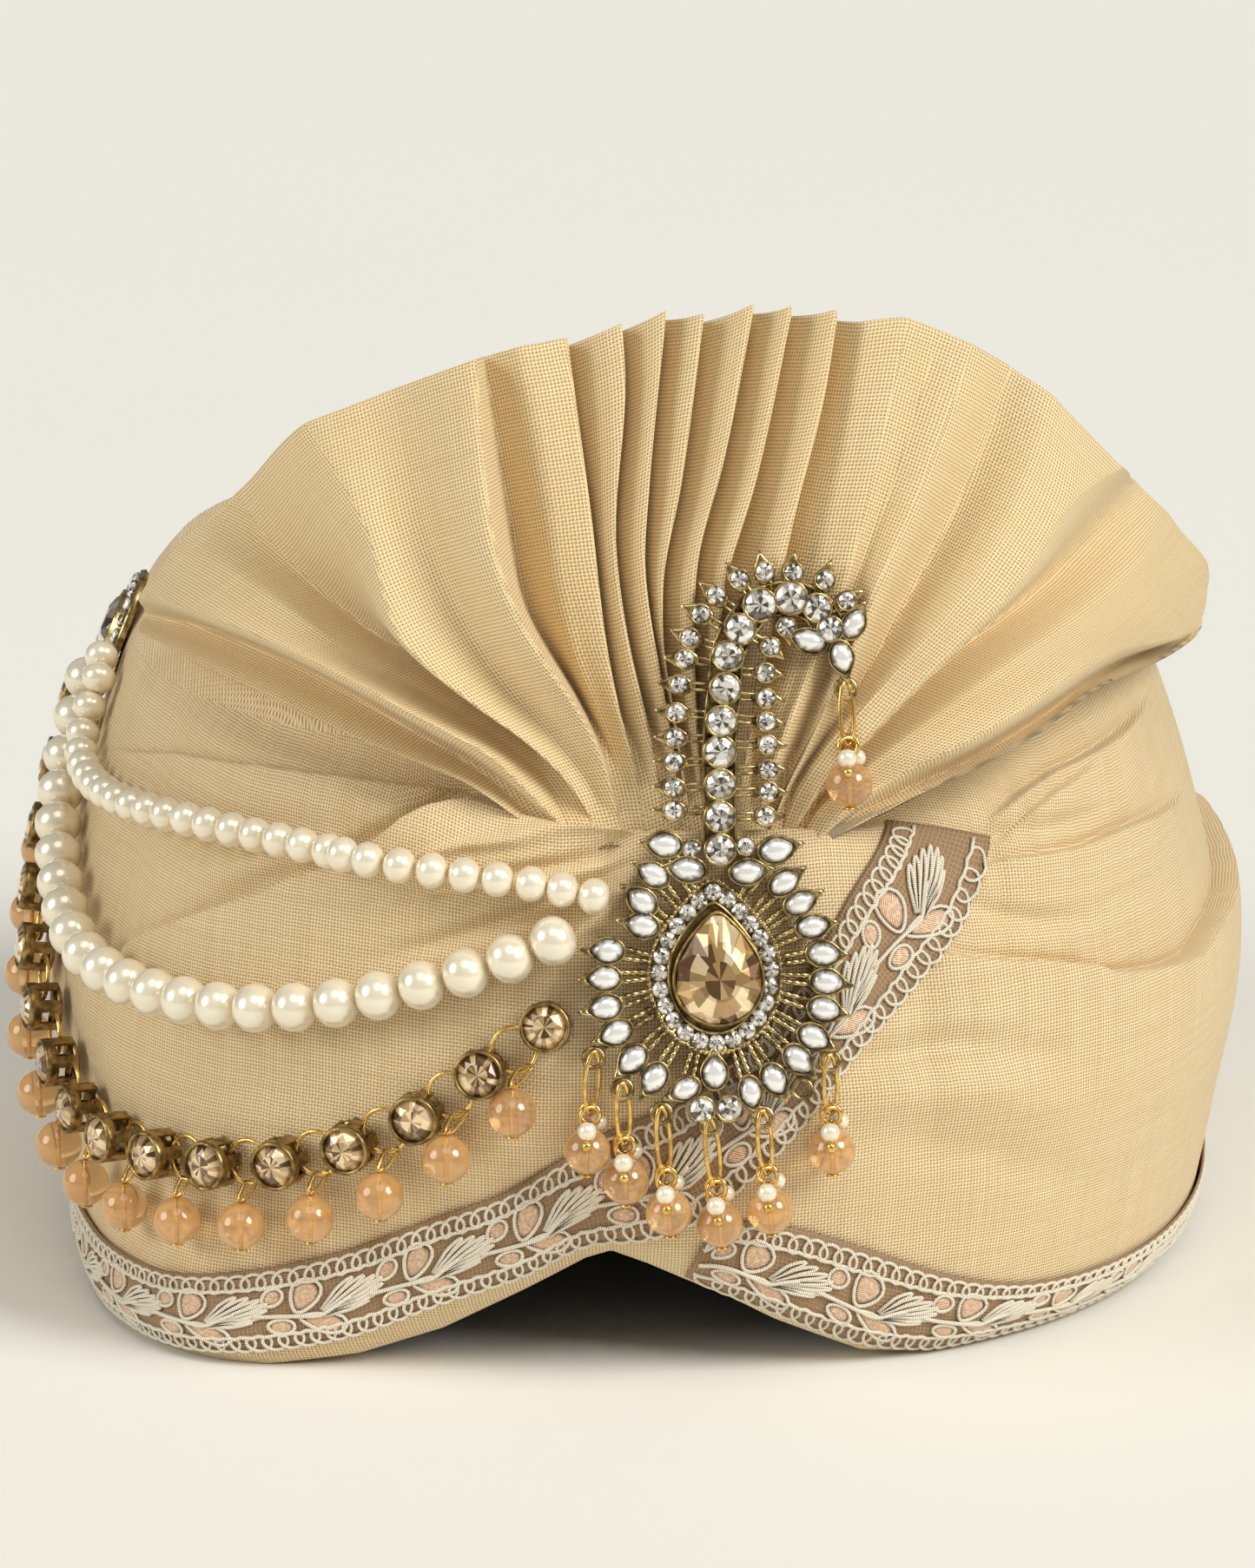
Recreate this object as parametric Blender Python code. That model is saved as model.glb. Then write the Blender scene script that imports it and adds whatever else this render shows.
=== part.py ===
# Tied turban (pagri): wound cloth body, pleated fan, lace bands, brooches, pearl strings and stone chain.
# Metres, +Z up, the front faces -Y, +X is the viewer's right. Angles in the tables are degrees.

import math

import bpy
import numpy as np

for old in list(bpy.data.objects):
    bpy.data.objects.remove(old, do_unlink=True)

# Sizes of the whole turban
HALF_WIDTH = 0.112
HALF_DEPTH = 0.126
CROWN_HEIGHT = 0.142
SQUARENESS = 2.3
HEAD_HALF_WIDTH = 0.082
HEAD_HALF_DEPTH = 0.100
HEAD_HEIGHT = 0.124
RIM_CURL = 0.0035
WALL_LENGTH = 0.180
SHIFT = (-0.0020, -0.0049, 0.0)

# Corner that stands out at the front left of the rim
CORNER_SHARE = 0.15
CORNER_ANGLE = -41.0
CORNER_SPREAD = 15.0
CORNER_TOP = 0.42

# Fan
KNOT_DEEP = 0.0115
KNOT = (0.1295 * HALF_WIDTH, KNOT_DEEP - HALF_DEPTH, 0.6796 * CROWN_HEIGHT)
FAN_LEAN = math.tan(math.radians(12.0))
FAN_SWEEP = 0.074
FAN_SWEEP_POWER = 3.4
FAN_REACH_LEFT = 0.109
FAN_REACH_RIGHT = 0.083
FAN_THICK = 0.0016
FAN_GAP = 0.0014
FAN_BASE = 0.0125

# Lace, strings, chain and drops
LACE_THICK = 0.0008
LACE_GAP = 0.0010
PEARL_LARGE = 0.0088
PEARL_SMALL = 0.0064
CUP_RADIUS = 0.0045
CUP_PITCH = 0.0137
CUP_GAP = 0.0016
CUP_LIFT = 0.0040
BEAD_RADIUS = 0.0043
SIDES = 10

# Outline of the body: t runs from the rim to the crown, reach is a share of the half sizes, height of CROWN_HEIGHT
PROFILE_COLUMNS = ("t", "reach", "height")
PROFILE = (
    (0.00, 0.945, 0.000),
    (0.15, 0.978, 0.175),
    (0.30, 1.000, 0.360),
    (0.45, 0.955, 0.545),
    (0.60, 0.890, 0.709),
    (0.72, 0.825, 0.822),
    (0.82, 0.670, 0.918),
    (0.91, 0.390, 0.978),
    (1.00, 0.000, 1.000),
)

# Notch of the rim at the front: where the rim is cut on the body's t at each angle from the front
NOTCH_COLUMNS = ("angle", "t")
NOTCH = (
    (-180.0, 0.000),
    (-34.0, 0.000),
    (-26.5, 0.015),
    (-19.0, 0.047),
    (-11.0, 0.097),
    (-5.0, 0.136),
    (-2.5, 0.145),
    (1.0, 0.130),
    (9.5, 0.086),
    (13.5, 0.060),
    (22.5, 0.013),
    (29.0, 0.000),
    (180.0, 0.000),
)

# Folds: a line through three points of the body, and how far the cloth below it stands out
FOLD_COLUMNS = ("name", "angle_a", "t_a", "angle_b", "t_b", "angle_c", "t_c", "step")
FOLDS = (
    ("roll_left", -58.0, 0.385, -30.0, 0.545, -6.0, 0.600, 0.0034),
    ("tuck_left", -76.0, 0.570, -40.0, 0.622, -14.0, 0.615, 0.0016),
    ("wrap_right", 27.0, 0.455, 52.0, 0.372, 104.0, 0.410, 0.0036),
    ("pleat_right", 32.0, 0.515, 52.0, 0.505, 76.0, 0.560, 0.0020),
    ("ridge_right", 34.0, 0.580, 52.0, 0.625, 72.0, 0.700, 0.0020),
    ("wrap_back_low", 112.0, 0.300, 180.0, 0.360, 250.0, 0.300, 0.0020),
    ("wrap_back_high", 112.0, 0.560, 180.0, 0.600, 262.0, 0.540, 0.0016),
)
FOLD_RISE = 0.006
FOLD_FADE = 0.030
FOLD_END = 9.0

# Fan: a row per fold, from the left end to the right. Angle and radius (share of FAN_RADIUS) of the rim seen from
# the knot, how far the fold stands out there, its place along the gathered base and how much its line bows
FAN_RADIUS = 0.100
FAN_COLUMNS = ("angle", "radius", "lift", "base", "bow")
FAN = (
    (168.9, 1.073, 0.0000, -1.00, -0.004),
    (165.0, 1.085, 0.0012, -0.98, -0.003),
    (162.6, 1.101, 0.0010, -0.96, -0.002),
    (154.2, 1.036, 0.0016, -0.92, 0.000),
    (149.9, 1.024, -0.0035, -0.88, 0.000),
    (135.7, 0.986, 0.0040, -0.84, 0.009),
    (131.8, 0.966, 0.0030, -0.80, 0.008),
    (125.0, 0.938, 0.0014, -0.74, 0.008),
    (116.9, 0.918, 0.0040, -0.66, 0.008),
    (112.4, 0.909, 0.0002, -0.58, 0.006),
    (107.4, 0.907, 0.0024, -0.50, 0.005),
    (107.0, 0.883, -0.0014, -0.47, 0.005),
    (100.9, 0.905, 0.0024, -0.36, 0.003),
    (100.5, 0.890, -0.0014, -0.33, 0.003),
    (96.2, 0.915, 0.0022, -0.20, 0.002),
    (95.7, 0.893, -0.0014, -0.17, 0.002),
    (92.3, 0.910, 0.0022, -0.05, 0.001),
    (91.6, 0.901, -0.0014, -0.02, 0.001),
    (87.1, 0.922, 0.0022, 0.12, 0.001),
    (86.2, 0.908, -0.0014, 0.15, 0.001),
    (83.0, 0.923, 0.0022, 0.27, 0.001),
    (82.0, 0.919, -0.0014, 0.30, 0.001),
    (78.3, 0.934, 0.0026, 0.42, 0.001),
    (76.4, 0.905, -0.0014, 0.45, 0.001),
    (71.5, 0.940, 0.0024, 0.56, 0.001),
    (66.4, 0.937, 0.0020, 0.64, 0.001),
    (59.0, 0.943, -0.0024, 0.72, 0.001),
    (56.5, 0.931, 0.0010, 0.78, 0.001),
    (51.2, 0.912, 0.0030, 0.83, 0.001),
    (42.6, 0.917, 0.0018, 0.87, 0.001),
    (34.4, 0.931, -0.0035, 0.90, 0.002),
    (32.2, 0.917, 0.0016, 0.93, 0.003),
    (25.4, 0.923, 0.0030, 0.96, 0.004),
    (15.7, 0.961, 0.0014, 0.98, 0.004),
    (8.4, 0.913, 0.0000, 1.00, 0.004),
)
FAN_ROWS = (0.0, 0.16, 0.36, 0.58, 0.80, 1.0)

# Lace bands: upper and lower edge on the body, from one end to the other
LACE_COLUMNS = ("upper_angle", "upper_t", "lower_angle", "lower_t")
LACE_LEFT = (
    (-178.0, 0.088, -178.0, 0.008),
    (-150.0, 0.088, -150.0, 0.008),
    (-120.0, 0.088, -120.0, 0.008),
    (-95.0, 0.088, -95.0, 0.008),
    (-76.0, 0.086, -74.0, 0.008),
    (-60.0, 0.084, -58.0, 0.008),
    (-50.0, 0.084, -48.5, 0.008),
    (-42.0, 0.088, -40.5, 0.008),
    (-34.0, 0.110, -33.0, 0.020),
    (-26.5, 0.140, -26.0, 0.042),
    (-18.5, 0.183, -18.0, 0.085),
    (-12.0, 0.215, -10.5, 0.120),
    (-6.5, 0.253, -5.0, 0.155),
    (-2.5, 0.285, 0.8, 0.165),
    (2.0, 0.305, 6.0, 0.190),
    (6.5, 0.340, 11.5, 0.245),
    (11.5, 0.387, 16.0, 0.302),
    (16.0, 0.442, 20.8, 0.362),
    (20.0, 0.508, 26.5, 0.418),
    (23.5, 0.556, 31.5, 0.470),
    (25.5, 0.588, 36.0, 0.552),
)
LACE_RIGHT = (
    (6.0, 0.162, 4.5, 0.118),
    (9.0, 0.185, 8.0, 0.098),
    (15.0, 0.172, 14.0, 0.066),
    (21.5, 0.142, 20.5, 0.030),
    (28.5, 0.105, 28.0, 0.008),
    (35.5, 0.078, 35.0, 0.008),
    (42.0, 0.066, 41.5, 0.008),
    (52.0, 0.060, 51.5, 0.008),
    (64.0, 0.060, 63.0, 0.008),
    (78.0, 0.066, 77.0, 0.008),
    (95.0, 0.080, 95.0, 0.008),
    (120.0, 0.088, 120.0, 0.008),
    (150.0, 0.088, 150.0, 0.008),
    (180.0, 0.088, 180.0, 0.008),
)

# Strings and the chain: where they lie on the body, from the front brooch to the side brooch
STRING_COLUMNS = ("angle", "t")
STRING_UPPER = (
    (-4.0, 0.513), (-10.5, 0.525), (-22.5, 0.535), (-33.0, 0.545), (-44.5, 0.545), (-57.0, 0.535),
    (-66.0, 0.535), (-72.5, 0.550), (-75.5, 0.585), (-74.5, 0.625),
)
STRING_LOWER = (
    (-7.5, 0.468), (-14.5, 0.435), (-25.5, 0.395), (-36.0, 0.372), (-47.0, 0.366), (-56.0, 0.376),
    (-64.0, 0.410), (-71.5, 0.460), (-77.5, 0.520), (-80.5, 0.580),
)
CHAIN = (
    (-8.0, 0.385), (-13.5, 0.340), (-19.5, 0.292), (-26.0, 0.256), (-34.0, 0.226), (-45.0, 0.212),
    (-54.0, 0.220), (-62.0, 0.262), (-69.0, 0.320), (-76.0, 0.385), (-82.0, 0.450), (-86.0, 0.520), (-88.0, 0.562),
)

# Front brooch, in metres on its own plane: x to the right, y up, from the middle of the halo
BROOCH_DEEP = 0.00215
BROOCH_AT = (0.1188 * HALF_WIDTH, BROOCH_DEEP - HALF_DEPTH, 0.5420 * CROWN_HEIGHT)
BROOCH_LEAN = math.radians(13.6)
BROOCH_TURN = math.radians(6.0)
HALO_WIDTH = 0.0108
HALO_BELOW = 0.0140
HALO_ABOVE = 0.0160
HALO_WIRE = 0.0022
ARM_COLUMNS = ("x", "y", "direction")
ARMS = (
    (-0.0083, 0.0217, 118.0), (-0.0110, 0.0166, 140.0), (-0.0150, 0.0120, 150.0), (-0.0172, 0.0070, 160.0),
    (-0.0187, 0.0020, 172.0), (-0.0193, -0.0030, 184.0), (-0.0190, -0.0078, 196.0), (-0.0172, -0.0122, 208.0),
    (-0.0143, -0.0160, 221.0), (-0.0105, -0.0192, 236.0), (-0.0057, -0.0210, 253.0), (-0.0003, -0.0214, 269.0),
    (0.0057, -0.0214, 286.0), (0.0102, -0.0196, 301.0), (0.0142, -0.0163, 317.0), (0.0172, -0.0125, 331.0),
    (0.0190, -0.0077, 344.0), (0.0196, -0.0029, 356.0), (0.0191, 0.0020, 8.0), (0.0176, 0.0068, 20.0),
    (0.0152, 0.0112, 32.0), (0.0125, 0.0152, 44.0), (0.0108, 0.0208, 58.0),
)
ARM_LENGTH = 0.0062
ARM_WIDTH = 0.0040
ARM_THICK = 0.0020
STEM_COLUMNS = ("x", "y", "stone")
STEM = (
    (0.0014, 0.0205, 0.0054), (0.0015, 0.0263, 0.0050), (0.0017, 0.0319, 0.0050), (0.0018, 0.0376, 0.0052),
    (0.0022, 0.0429, 0.0050), (0.0030, 0.0486, 0.0050), (0.0036, 0.0542, 0.0050), (0.0058, 0.0588, 0.0050),
    (0.0094, 0.0629, 0.0052), (0.0148, 0.0640, 0.0052), (0.0194, 0.0622, 0.0044), (0.0216, 0.0584, 0.0040),
)
HOOK_END = (0.0238, 0.0548)
STEM_WIDTH = 0.0036
SIDE_STONE_OUT = 0.0068
DROP_COLUMNS = ("name", "x", "y", "bead_x", "bead_y", "forward")
DROPS = (
    ("drop_1", -0.0215, -0.0150, -0.0226, -0.0316, 0.05),
    ("drop_2", -0.0166, -0.0206, -0.0160, -0.0372, 0.0),
    ("drop_3", -0.0099, -0.0250, -0.0086, -0.0430, 0.0),
    ("drop_4", -0.0015, -0.0272, 0.0003, -0.0453, 0.0),
    ("drop_5", 0.0078, -0.0262, 0.0092, -0.0432, 0.0),
    ("drop_6", 0.0198, -0.0168, 0.0203, -0.0330, 0.0),
    ("hook_drop", 0.0242, 0.0480, 0.0248, 0.0314, 0.29),
)
DROP_BEAD = 0.0040
SIDE_BROOCH = (-85.0, 0.672)
SIDE_BROOCH_WIDTH = 0.0095
SIDE_BROOCH_HEIGHT = 0.0120


def column(rows, names, name):
    at = names.index(name)
    return np.array([row[at] for row in rows], float)


def curve_through(x, y, at):
    """Smooth curve through the rows, each row keeping the slope between its neighbours."""
    slope = np.gradient(y, x)
    at = np.asarray(at, float)
    i = np.clip(np.searchsorted(x, at, side="right") - 1, 0, len(x) - 2)
    h = x[i + 1] - x[i]
    s = (at - x[i]) / h
    first = (2 * s**3 - 3 * s**2 + 1) * y[i] + (s**3 - 2 * s**2 + s) * h * slope[i]
    return first + (3 * s**2 - 2 * s**3) * y[i + 1] + (s**3 - s**2) * h * slope[i + 1]


def ease(x):
    x = np.clip(x, 0.0, 1.0)
    return x * x * (3 - 2 * x)


def profile(t):
    x = column(PROFILE, PROFILE_COLUMNS, "t")
    reach = curve_through(x, column(PROFILE, PROFILE_COLUMNS, "reach"), t)
    return reach, curve_through(x, column(PROFILE, PROFILE_COLUMNS, "height"), t)


def rim_t(angle):
    return np.interp(wrapped(angle), column(NOTCH, NOTCH_COLUMNS, "angle"), column(NOTCH, NOTCH_COLUMNS, "t"))


def wrapped(angle):
    return (np.asarray(angle, float) + 180.0) % 360.0 - 180.0


def fold_out(angle, t):
    """How far the folds push the cloth out: below each fold's line it steps up and dies away downwards."""
    out = np.zeros(np.broadcast(angle, t).shape)
    for _, a0, t0, a1, t1, a2, t2, step in FOLDS:
        a = np.where(wrapped(angle) < a0 - 20.0, wrapped(angle) + 360.0, wrapped(angle)) if a2 > 180.0 else wrapped(angle)
        line = t0 * (a - a1) * (a - a2) / ((a0 - a1) * (a0 - a2))
        line = line + t1 * (a - a0) * (a - a2) / ((a1 - a0) * (a1 - a2))
        line = line + t2 * (a - a0) * (a - a1) / ((a2 - a0) * (a2 - a1))
        below = (line - t) * WALL_LENGTH
        ends = ease((a - a0) / FOLD_END) * ease((a2 - a) / FOLD_END)
        out = out + step * ends * ease(below / FOLD_RISE) * np.exp(-np.maximum(below, 0.0) / FOLD_FADE)
    return out


def smooth_body(angle, t):
    angle = np.asarray(angle, float)
    reach, height = profile(np.asarray(t, float))
    s = np.sin(np.radians(angle))
    c = np.cos(np.radians(angle))
    r = (np.abs(s) ** SQUARENESS + np.abs(c) ** SQUARENESS) ** (-1 / SQUARENESS)
    side = wrapped(angle) - CORNER_ANGLE
    near = np.exp(-((side / np.where(side < 0, 1.5 * CORNER_SPREAD, CORNER_SPREAD)) ** 2))
    r = r * (1 + CORNER_SHARE * near * np.clip(1 - t / CORNER_TOP, 0, 1) ** 2)
    return np.stack([HALF_WIDTH * reach * r * s, -HALF_DEPTH * reach * r * c, CROWN_HEIGHT * height], -1)


def outward(angle, t):
    """Unit normal of the smooth body."""
    t = np.clip(t, 0.004, 0.99)
    along = smooth_body(angle + 0.2, t) - smooth_body(angle - 0.2, t)
    up = smooth_body(angle, t + 0.002) - smooth_body(angle, t - 0.002)
    n = np.cross(along, up)
    return n / np.linalg.norm(n, axis=-1, keepdims=True)


def on_body(angle, t, lift=0.0):
    angle = np.asarray(angle, float)
    t = np.asarray(t, float)
    far = fold_out(angle, t) + lift
    return smooth_body(angle, t) + outward(angle, t) * np.asarray(far)[..., None]


def body_surface(angle, t):
    """The cloth: the smooth body with its folds, turned in a little at the rim."""
    points = on_body(angle, t)
    above = (points[..., 2] - smooth_body(angle, rim_t(angle))[..., 2]) / 0.007
    curl = RIM_CURL * np.clip(1 - above, 0, 1) ** 2
    flat = points[..., :2] / np.linalg.norm(points[..., :2] + 1e-9, axis=-1, keepdims=True)
    points[..., :2] = points[..., :2] - flat * curl[..., None]
    points[..., 2] = np.maximum(points[..., 2], 0.0)
    return points


def make_material(name, colour, metal, rough):
    made = bpy.data.materials.new(name)
    made.use_nodes = True
    shader = made.node_tree.nodes["Principled BSDF"]
    shader.inputs["Base Color"].default_value = (*colour, 1.0)
    shader.inputs["Metallic"].default_value = metal
    shader.inputs["Roughness"].default_value = rough
    made.diffuse_color = (*colour, 1.0)
    return made


CLOTH = (0.60, 0.47, 0.30)
NET = (0.55, 0.47, 0.40)
GOLD = (0.55, 0.42, 0.20)
PEARL = (0.86, 0.82, 0.72)
CHAMPAGNE = (0.66, 0.46, 0.26)
BRASS = (0.42, 0.33, 0.18)

pieces = bpy.data.collections.new("tied_turban")
cutters = bpy.data.collections.new("cutters")
bpy.context.scene.collection.children.link(pieces)
bpy.context.scene.collection.children.link(cutters)
cutters.hide_render = True


def add_mesh(name, points, faces, look=None, home=None):
    mesh = bpy.data.meshes.new(name)
    shifted = np.asarray(points, float).reshape(-1, 3) - np.array(SHIFT)
    mesh.from_pydata([tuple(p) for p in shifted], [], [tuple(int(i) for i in f) for f in faces])
    mesh.validate()
    made = bpy.data.objects.new(name, mesh)
    (home or pieces).objects.link(made)
    if look:
        mesh.materials.append(make_material(name + "_look", *look))
    if home is cutters:
        made.hide_render = True
        made.display_type = "WIRE"
    return made


def grid_faces(rows, columns, closed=False, start=0):
    """Quads of a grid whose points run along the columns first."""
    faces = []
    for r in range(rows - 1):
        for c in range(columns if closed else columns - 1):
            d = (c + 1) % columns
            a = start + r * columns
            b = start + (r + 1) * columns
            faces.append((a + c, a + d, b + d, b + c))
    return faces


def slab(name, front, back, look):
    """A closed sheet between two grids of the same size."""
    rows, columns = front.shape[:2]
    count = rows * columns
    faces = grid_faces(rows, columns)
    faces += [tuple(reversed(f)) for f in grid_faces(rows, columns, start=count)]
    edge = [(0, c) for c in range(columns)] + [(r, columns - 1) for r in range(1, rows)]
    edge += [(rows - 1, c) for c in range(columns - 2, -1, -1)] + [(r, 0) for r in range(rows - 2, 0, -1)]
    index = [r * columns + c for r, c in edge]
    for i, a in enumerate(index):
        b = index[(i + 1) % len(index)]
        faces.append((b, a, a + count, b + count))
    return add_mesh(name, np.concatenate([front.reshape(-1, 3), back.reshape(-1, 3)]), faces, look)


def frame_of(path):
    """Tangent and two crosswise directions along a path, turned as little as possible."""
    step = np.gradient(path, axis=0)
    step = step / np.linalg.norm(step, axis=1, keepdims=True)
    side = np.cross(step[0], (0, 0, 1.0))
    sides = []
    for tangent in step:
        side = side - tangent * (side @ tangent)
        side = side / np.linalg.norm(side)
        sides.append(side)
    sides = np.array(sides)
    return step, sides, np.cross(step, sides)


def sweep(path, radii, sides=SIDES):
    """Points and faces of a round bar along a path, one ring for each point, with flat ends."""
    path = np.asarray(path, float)
    _, u, v = frame_of(path)
    turn = np.arange(sides) * 2 * np.pi / sides
    ring = np.cos(turn)[None, :, None] * u[:, None, :] + np.sin(turn)[None, :, None] * v[:, None, :]
    points = path[:, None, :] + ring * np.asarray(radii, float)[:, None, None]
    faces = grid_faces(len(path), sides, closed=True)
    last = (len(path) - 1) * sides
    faces += [tuple(range(sides))[::-1], tuple(range(last, last + sides))]
    return points.reshape(-1, 3), faces


def face_out(points, faces):
    """The faces turned so that the solid's volume is positive."""
    total = 0.0
    for f in faces:
        for k in range(1, len(f) - 1):
            total += np.dot(points[f[0]], np.cross(points[f[k]], points[f[k + 1]]))
    return faces if total > 0 else [tuple(reversed(f)) for f in faces]


def lathe(at, axis, rings, sides=SIDES):
    """A solid of revolution: rings are (distance along the axis, radius)."""
    axis = np.asarray(axis, float) / np.linalg.norm(axis)
    path = np.array([np.asarray(at, float) + axis * d for d, _ in rings])
    side = np.cross(axis, (0.31, 0.17, 0.93))
    side = side / np.linalg.norm(side)
    other = np.cross(axis, side)
    turn = np.arange(sides) * 2 * np.pi / sides
    ring = np.cos(turn)[:, None] * side + np.sin(turn)[:, None] * other
    points = path[:, None, :] + ring[None] * np.array([r for _, r in rings])[:, None, None]
    points = points.reshape(-1, 3)
    faces = grid_faces(len(rings), sides, closed=True)
    last = (len(rings) - 1) * sides
    faces += [tuple(range(sides))[::-1], tuple(range(last, last + sides))]
    return points, face_out(points, faces)


def bar(a, b, radius, sides=5):
    a = np.asarray(a, float)
    b = np.asarray(b, float)
    return lathe(a, b - a, [(0.0, radius), (np.linalg.norm(b - a), radius)], sides)


def wire_ring(middle, across, along, long_half, short_half, wire, count=10, sides=5):
    """A closed oval of wire in the plane of two directions."""
    turn = np.arange(count) * 2 * np.pi / count
    across = np.asarray(across, float)
    along = np.asarray(along, float)
    out = np.cos(turn)[:, None] * across + np.sin(turn)[:, None] * along
    path = middle + np.cos(turn)[:, None] * across * short_half + np.sin(turn)[:, None] * along * long_half
    normal = np.cross(across, along)
    spin = np.arange(sides) * 2 * np.pi / sides
    ring = np.cos(spin)[None, :, None] * out[:, None, :] + np.sin(spin)[None, :, None] * normal[None, None, :]
    points = (path[:, None, :] + ring * wire).reshape(-1, 3)
    faces = []
    for r in range(count):
        for c in range(sides):
            d = (c + 1) % sides
            e = (r + 1) % count
            faces.append((r * sides + c, r * sides + d, e * sides + d, e * sides + c))
    return points, face_out(points, faces)


def fuse(name, solids, look):
    """One body from overlapping solids."""
    group = bpy.data.collections.new(name + "_parts")
    cutters.children.link(group)
    first = add_mesh(name, solids[0][0], solids[0][1], look)
    for i, (points, faces) in enumerate(solids[1:]):
        made = add_mesh(f"{name}_{i:03d}", points, faces, home=cutters)
        cutters.objects.unlink(made)
        group.objects.link(made)
    union = first.modifiers.new("union", "BOOLEAN")
    union.operation = "UNION"
    union.solver = "EXACT"
    union.use_self = True
    union.operand_type = "COLLECTION"
    union.collection = group
    return first


def along_body(rows, lift, pitch, count=400):
    """Angle and t at even steps of about one pitch along the line of a table, over the body."""
    run = np.arange(len(rows), dtype=float)
    at = np.linspace(0, len(rows) - 1, count)
    angle = curve_through(run, column(rows, STRING_COLUMNS, "angle"), at)
    t = curve_through(run, column(rows, STRING_COLUMNS, "t"), at)
    path = on_body(angle, t, lift)
    length = np.concatenate([[0], np.cumsum(np.linalg.norm(np.diff(path, axis=0), axis=1))])
    even = np.linspace(0, length[-1], int(round(length[-1] / pitch)) + 1)
    return np.interp(even, length, angle), np.interp(even, length, t)


def body_path(rows, lift, pitch):
    return on_body(*along_body(rows, lift, pitch), lift)


# Body of wound cloth
BODY_ANGLES = np.concatenate([
    np.arange(-70.0, -34.0, 6.0), np.arange(-34.0, 33.0, 4.4), np.arange(37.0, 110.0, 6.0),
    np.arange(110.0, 290.0, 10.0),
])
BODY_ROWS = np.array([0, 0.035, 0.10, 0.18, 0.26, 0.33, 0.38, 0.43, 0.48, 0.53, 0.58, 0.64, 0.71, 0.79, 0.87, 0.94])
HEAD_ROWS = ((0.0, 1.0), (0.55, 1.0), (0.86, 0.80), (0.98, 0.40))


def make_body():
    angle, row = np.meshgrid(BODY_ANGLES, BODY_ROWS)
    start = rim_t(angle)
    outer = body_surface(angle, start + (1 - start) * row)
    columns = len(BODY_ANGLES)
    rim_height = outer[0, :, 2]
    s = np.sin(np.radians(BODY_ANGLES))
    c = np.cos(np.radians(BODY_ANGLES))
    r = (np.abs(s) ** SQUARENESS + np.abs(c) ** SQUARENESS) ** (-1 / SQUARENESS)
    inner = []
    for share, reach in HEAD_ROWS:
        height = rim_height + (HEAD_HEIGHT - rim_height) * share
        inner.append(np.stack([HEAD_HALF_WIDTH * reach * r * s, -HEAD_HALF_DEPTH * reach * r * c, height], -1))
    inner = np.array(inner)
    count = outer.shape[0] * columns
    points = np.concatenate([
        outer.reshape(-1, 3), inner.reshape(-1, 3), [[0, 0, CROWN_HEIGHT], [0, 0, HEAD_HEIGHT]],
    ])
    faces = grid_faces(outer.shape[0], columns, closed=True)
    faces += [tuple(reversed(f)) for f in grid_faces(len(inner), columns, closed=True, start=count)]
    top = len(points) - 2
    last_outer = (outer.shape[0] - 1) * columns
    last_inner = count + (len(inner) - 1) * columns
    for k in range(columns):
        j = (k + 1) % columns
        faces.append((j, k, count + k, count + j))
        faces.append((last_outer + k, last_outer + j, top))
        faces.append((last_inner + j, last_inner + k, top + 1))
    return add_mesh("turban_body", points, faces, (CLOTH, 0.0, 0.9))


def clear_of_body(points, gap):
    """Points moved out along the level until they are at least a gap outside the folded body."""
    t = np.linspace(0, 1, 400)
    reach, height = profile(t)
    t_here = np.interp(points[..., 2], CROWN_HEIGHT * height, t)
    r = np.interp(t_here, t, reach)
    angle = np.degrees(np.arctan2(points[..., 0] / HALF_WIDTH, -points[..., 1] / HALF_DEPTH))
    level = (np.abs(points[..., 0]) / HALF_WIDTH) ** SQUARENESS + (np.abs(points[..., 1]) / HALF_DEPTH) ** SQUARENESS
    size = level ** (1 / SQUARENESS)
    need = r + (gap + fold_out(angle, t_here)) / HALF_WIDTH
    scale = np.where(points[..., 2] < CROWN_HEIGHT * 0.985, np.maximum(1.0, need / size), 1.0)
    moved = points.copy()
    moved[..., :2] = moved[..., :2] * scale[..., None]
    return moved


def fan_point(u, v):
    """The fan's front: u runs over the folds from left to right, v from the gathered base to the rim."""
    run = np.arange(len(FAN), dtype=float)
    value = {name: np.interp(u, run, column(FAN, FAN_COLUMNS, name)) for name in FAN_COLUMNS}
    turn = np.radians(value["angle"])
    rim = np.stack([np.cos(turn), np.sin(turn)], -1) * (FAN_RADIUS * value["radius"])[..., None]
    base = np.stack([FAN_BASE * value["base"], 0.0025 * (1 - value["base"] ** 2)], -1)
    line = rim - base
    cross = np.stack([-line[..., 1], line[..., 0]], -1) / np.linalg.norm(line, axis=-1, keepdims=True)
    flat = base + line * v[..., None] + cross * (4 * value["bow"] * v * (1 - v))[..., None]
    x = KNOT[0] + flat[..., 0]
    z = KNOT[2] + flat[..., 1]
    far = np.where(flat[..., 0] < 0, FAN_REACH_LEFT, FAN_REACH_RIGHT)
    y = KNOT[1] + (z - KNOT[2]) * FAN_LEAN + FAN_SWEEP * (np.abs(flat[..., 0]) / far) ** FAN_SWEEP_POWER
    away = np.stack([x / HALF_WIDTH**2, y / HALF_DEPTH**2], -1)
    away = away / np.linalg.norm(away, axis=-1, keepdims=True)
    lift = value["lift"] * (0.18 + 0.82 * v)
    points = np.stack([x, y, z], -1)
    points[..., :2] = points[..., :2] + away * lift[..., None]
    return points, away


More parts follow.
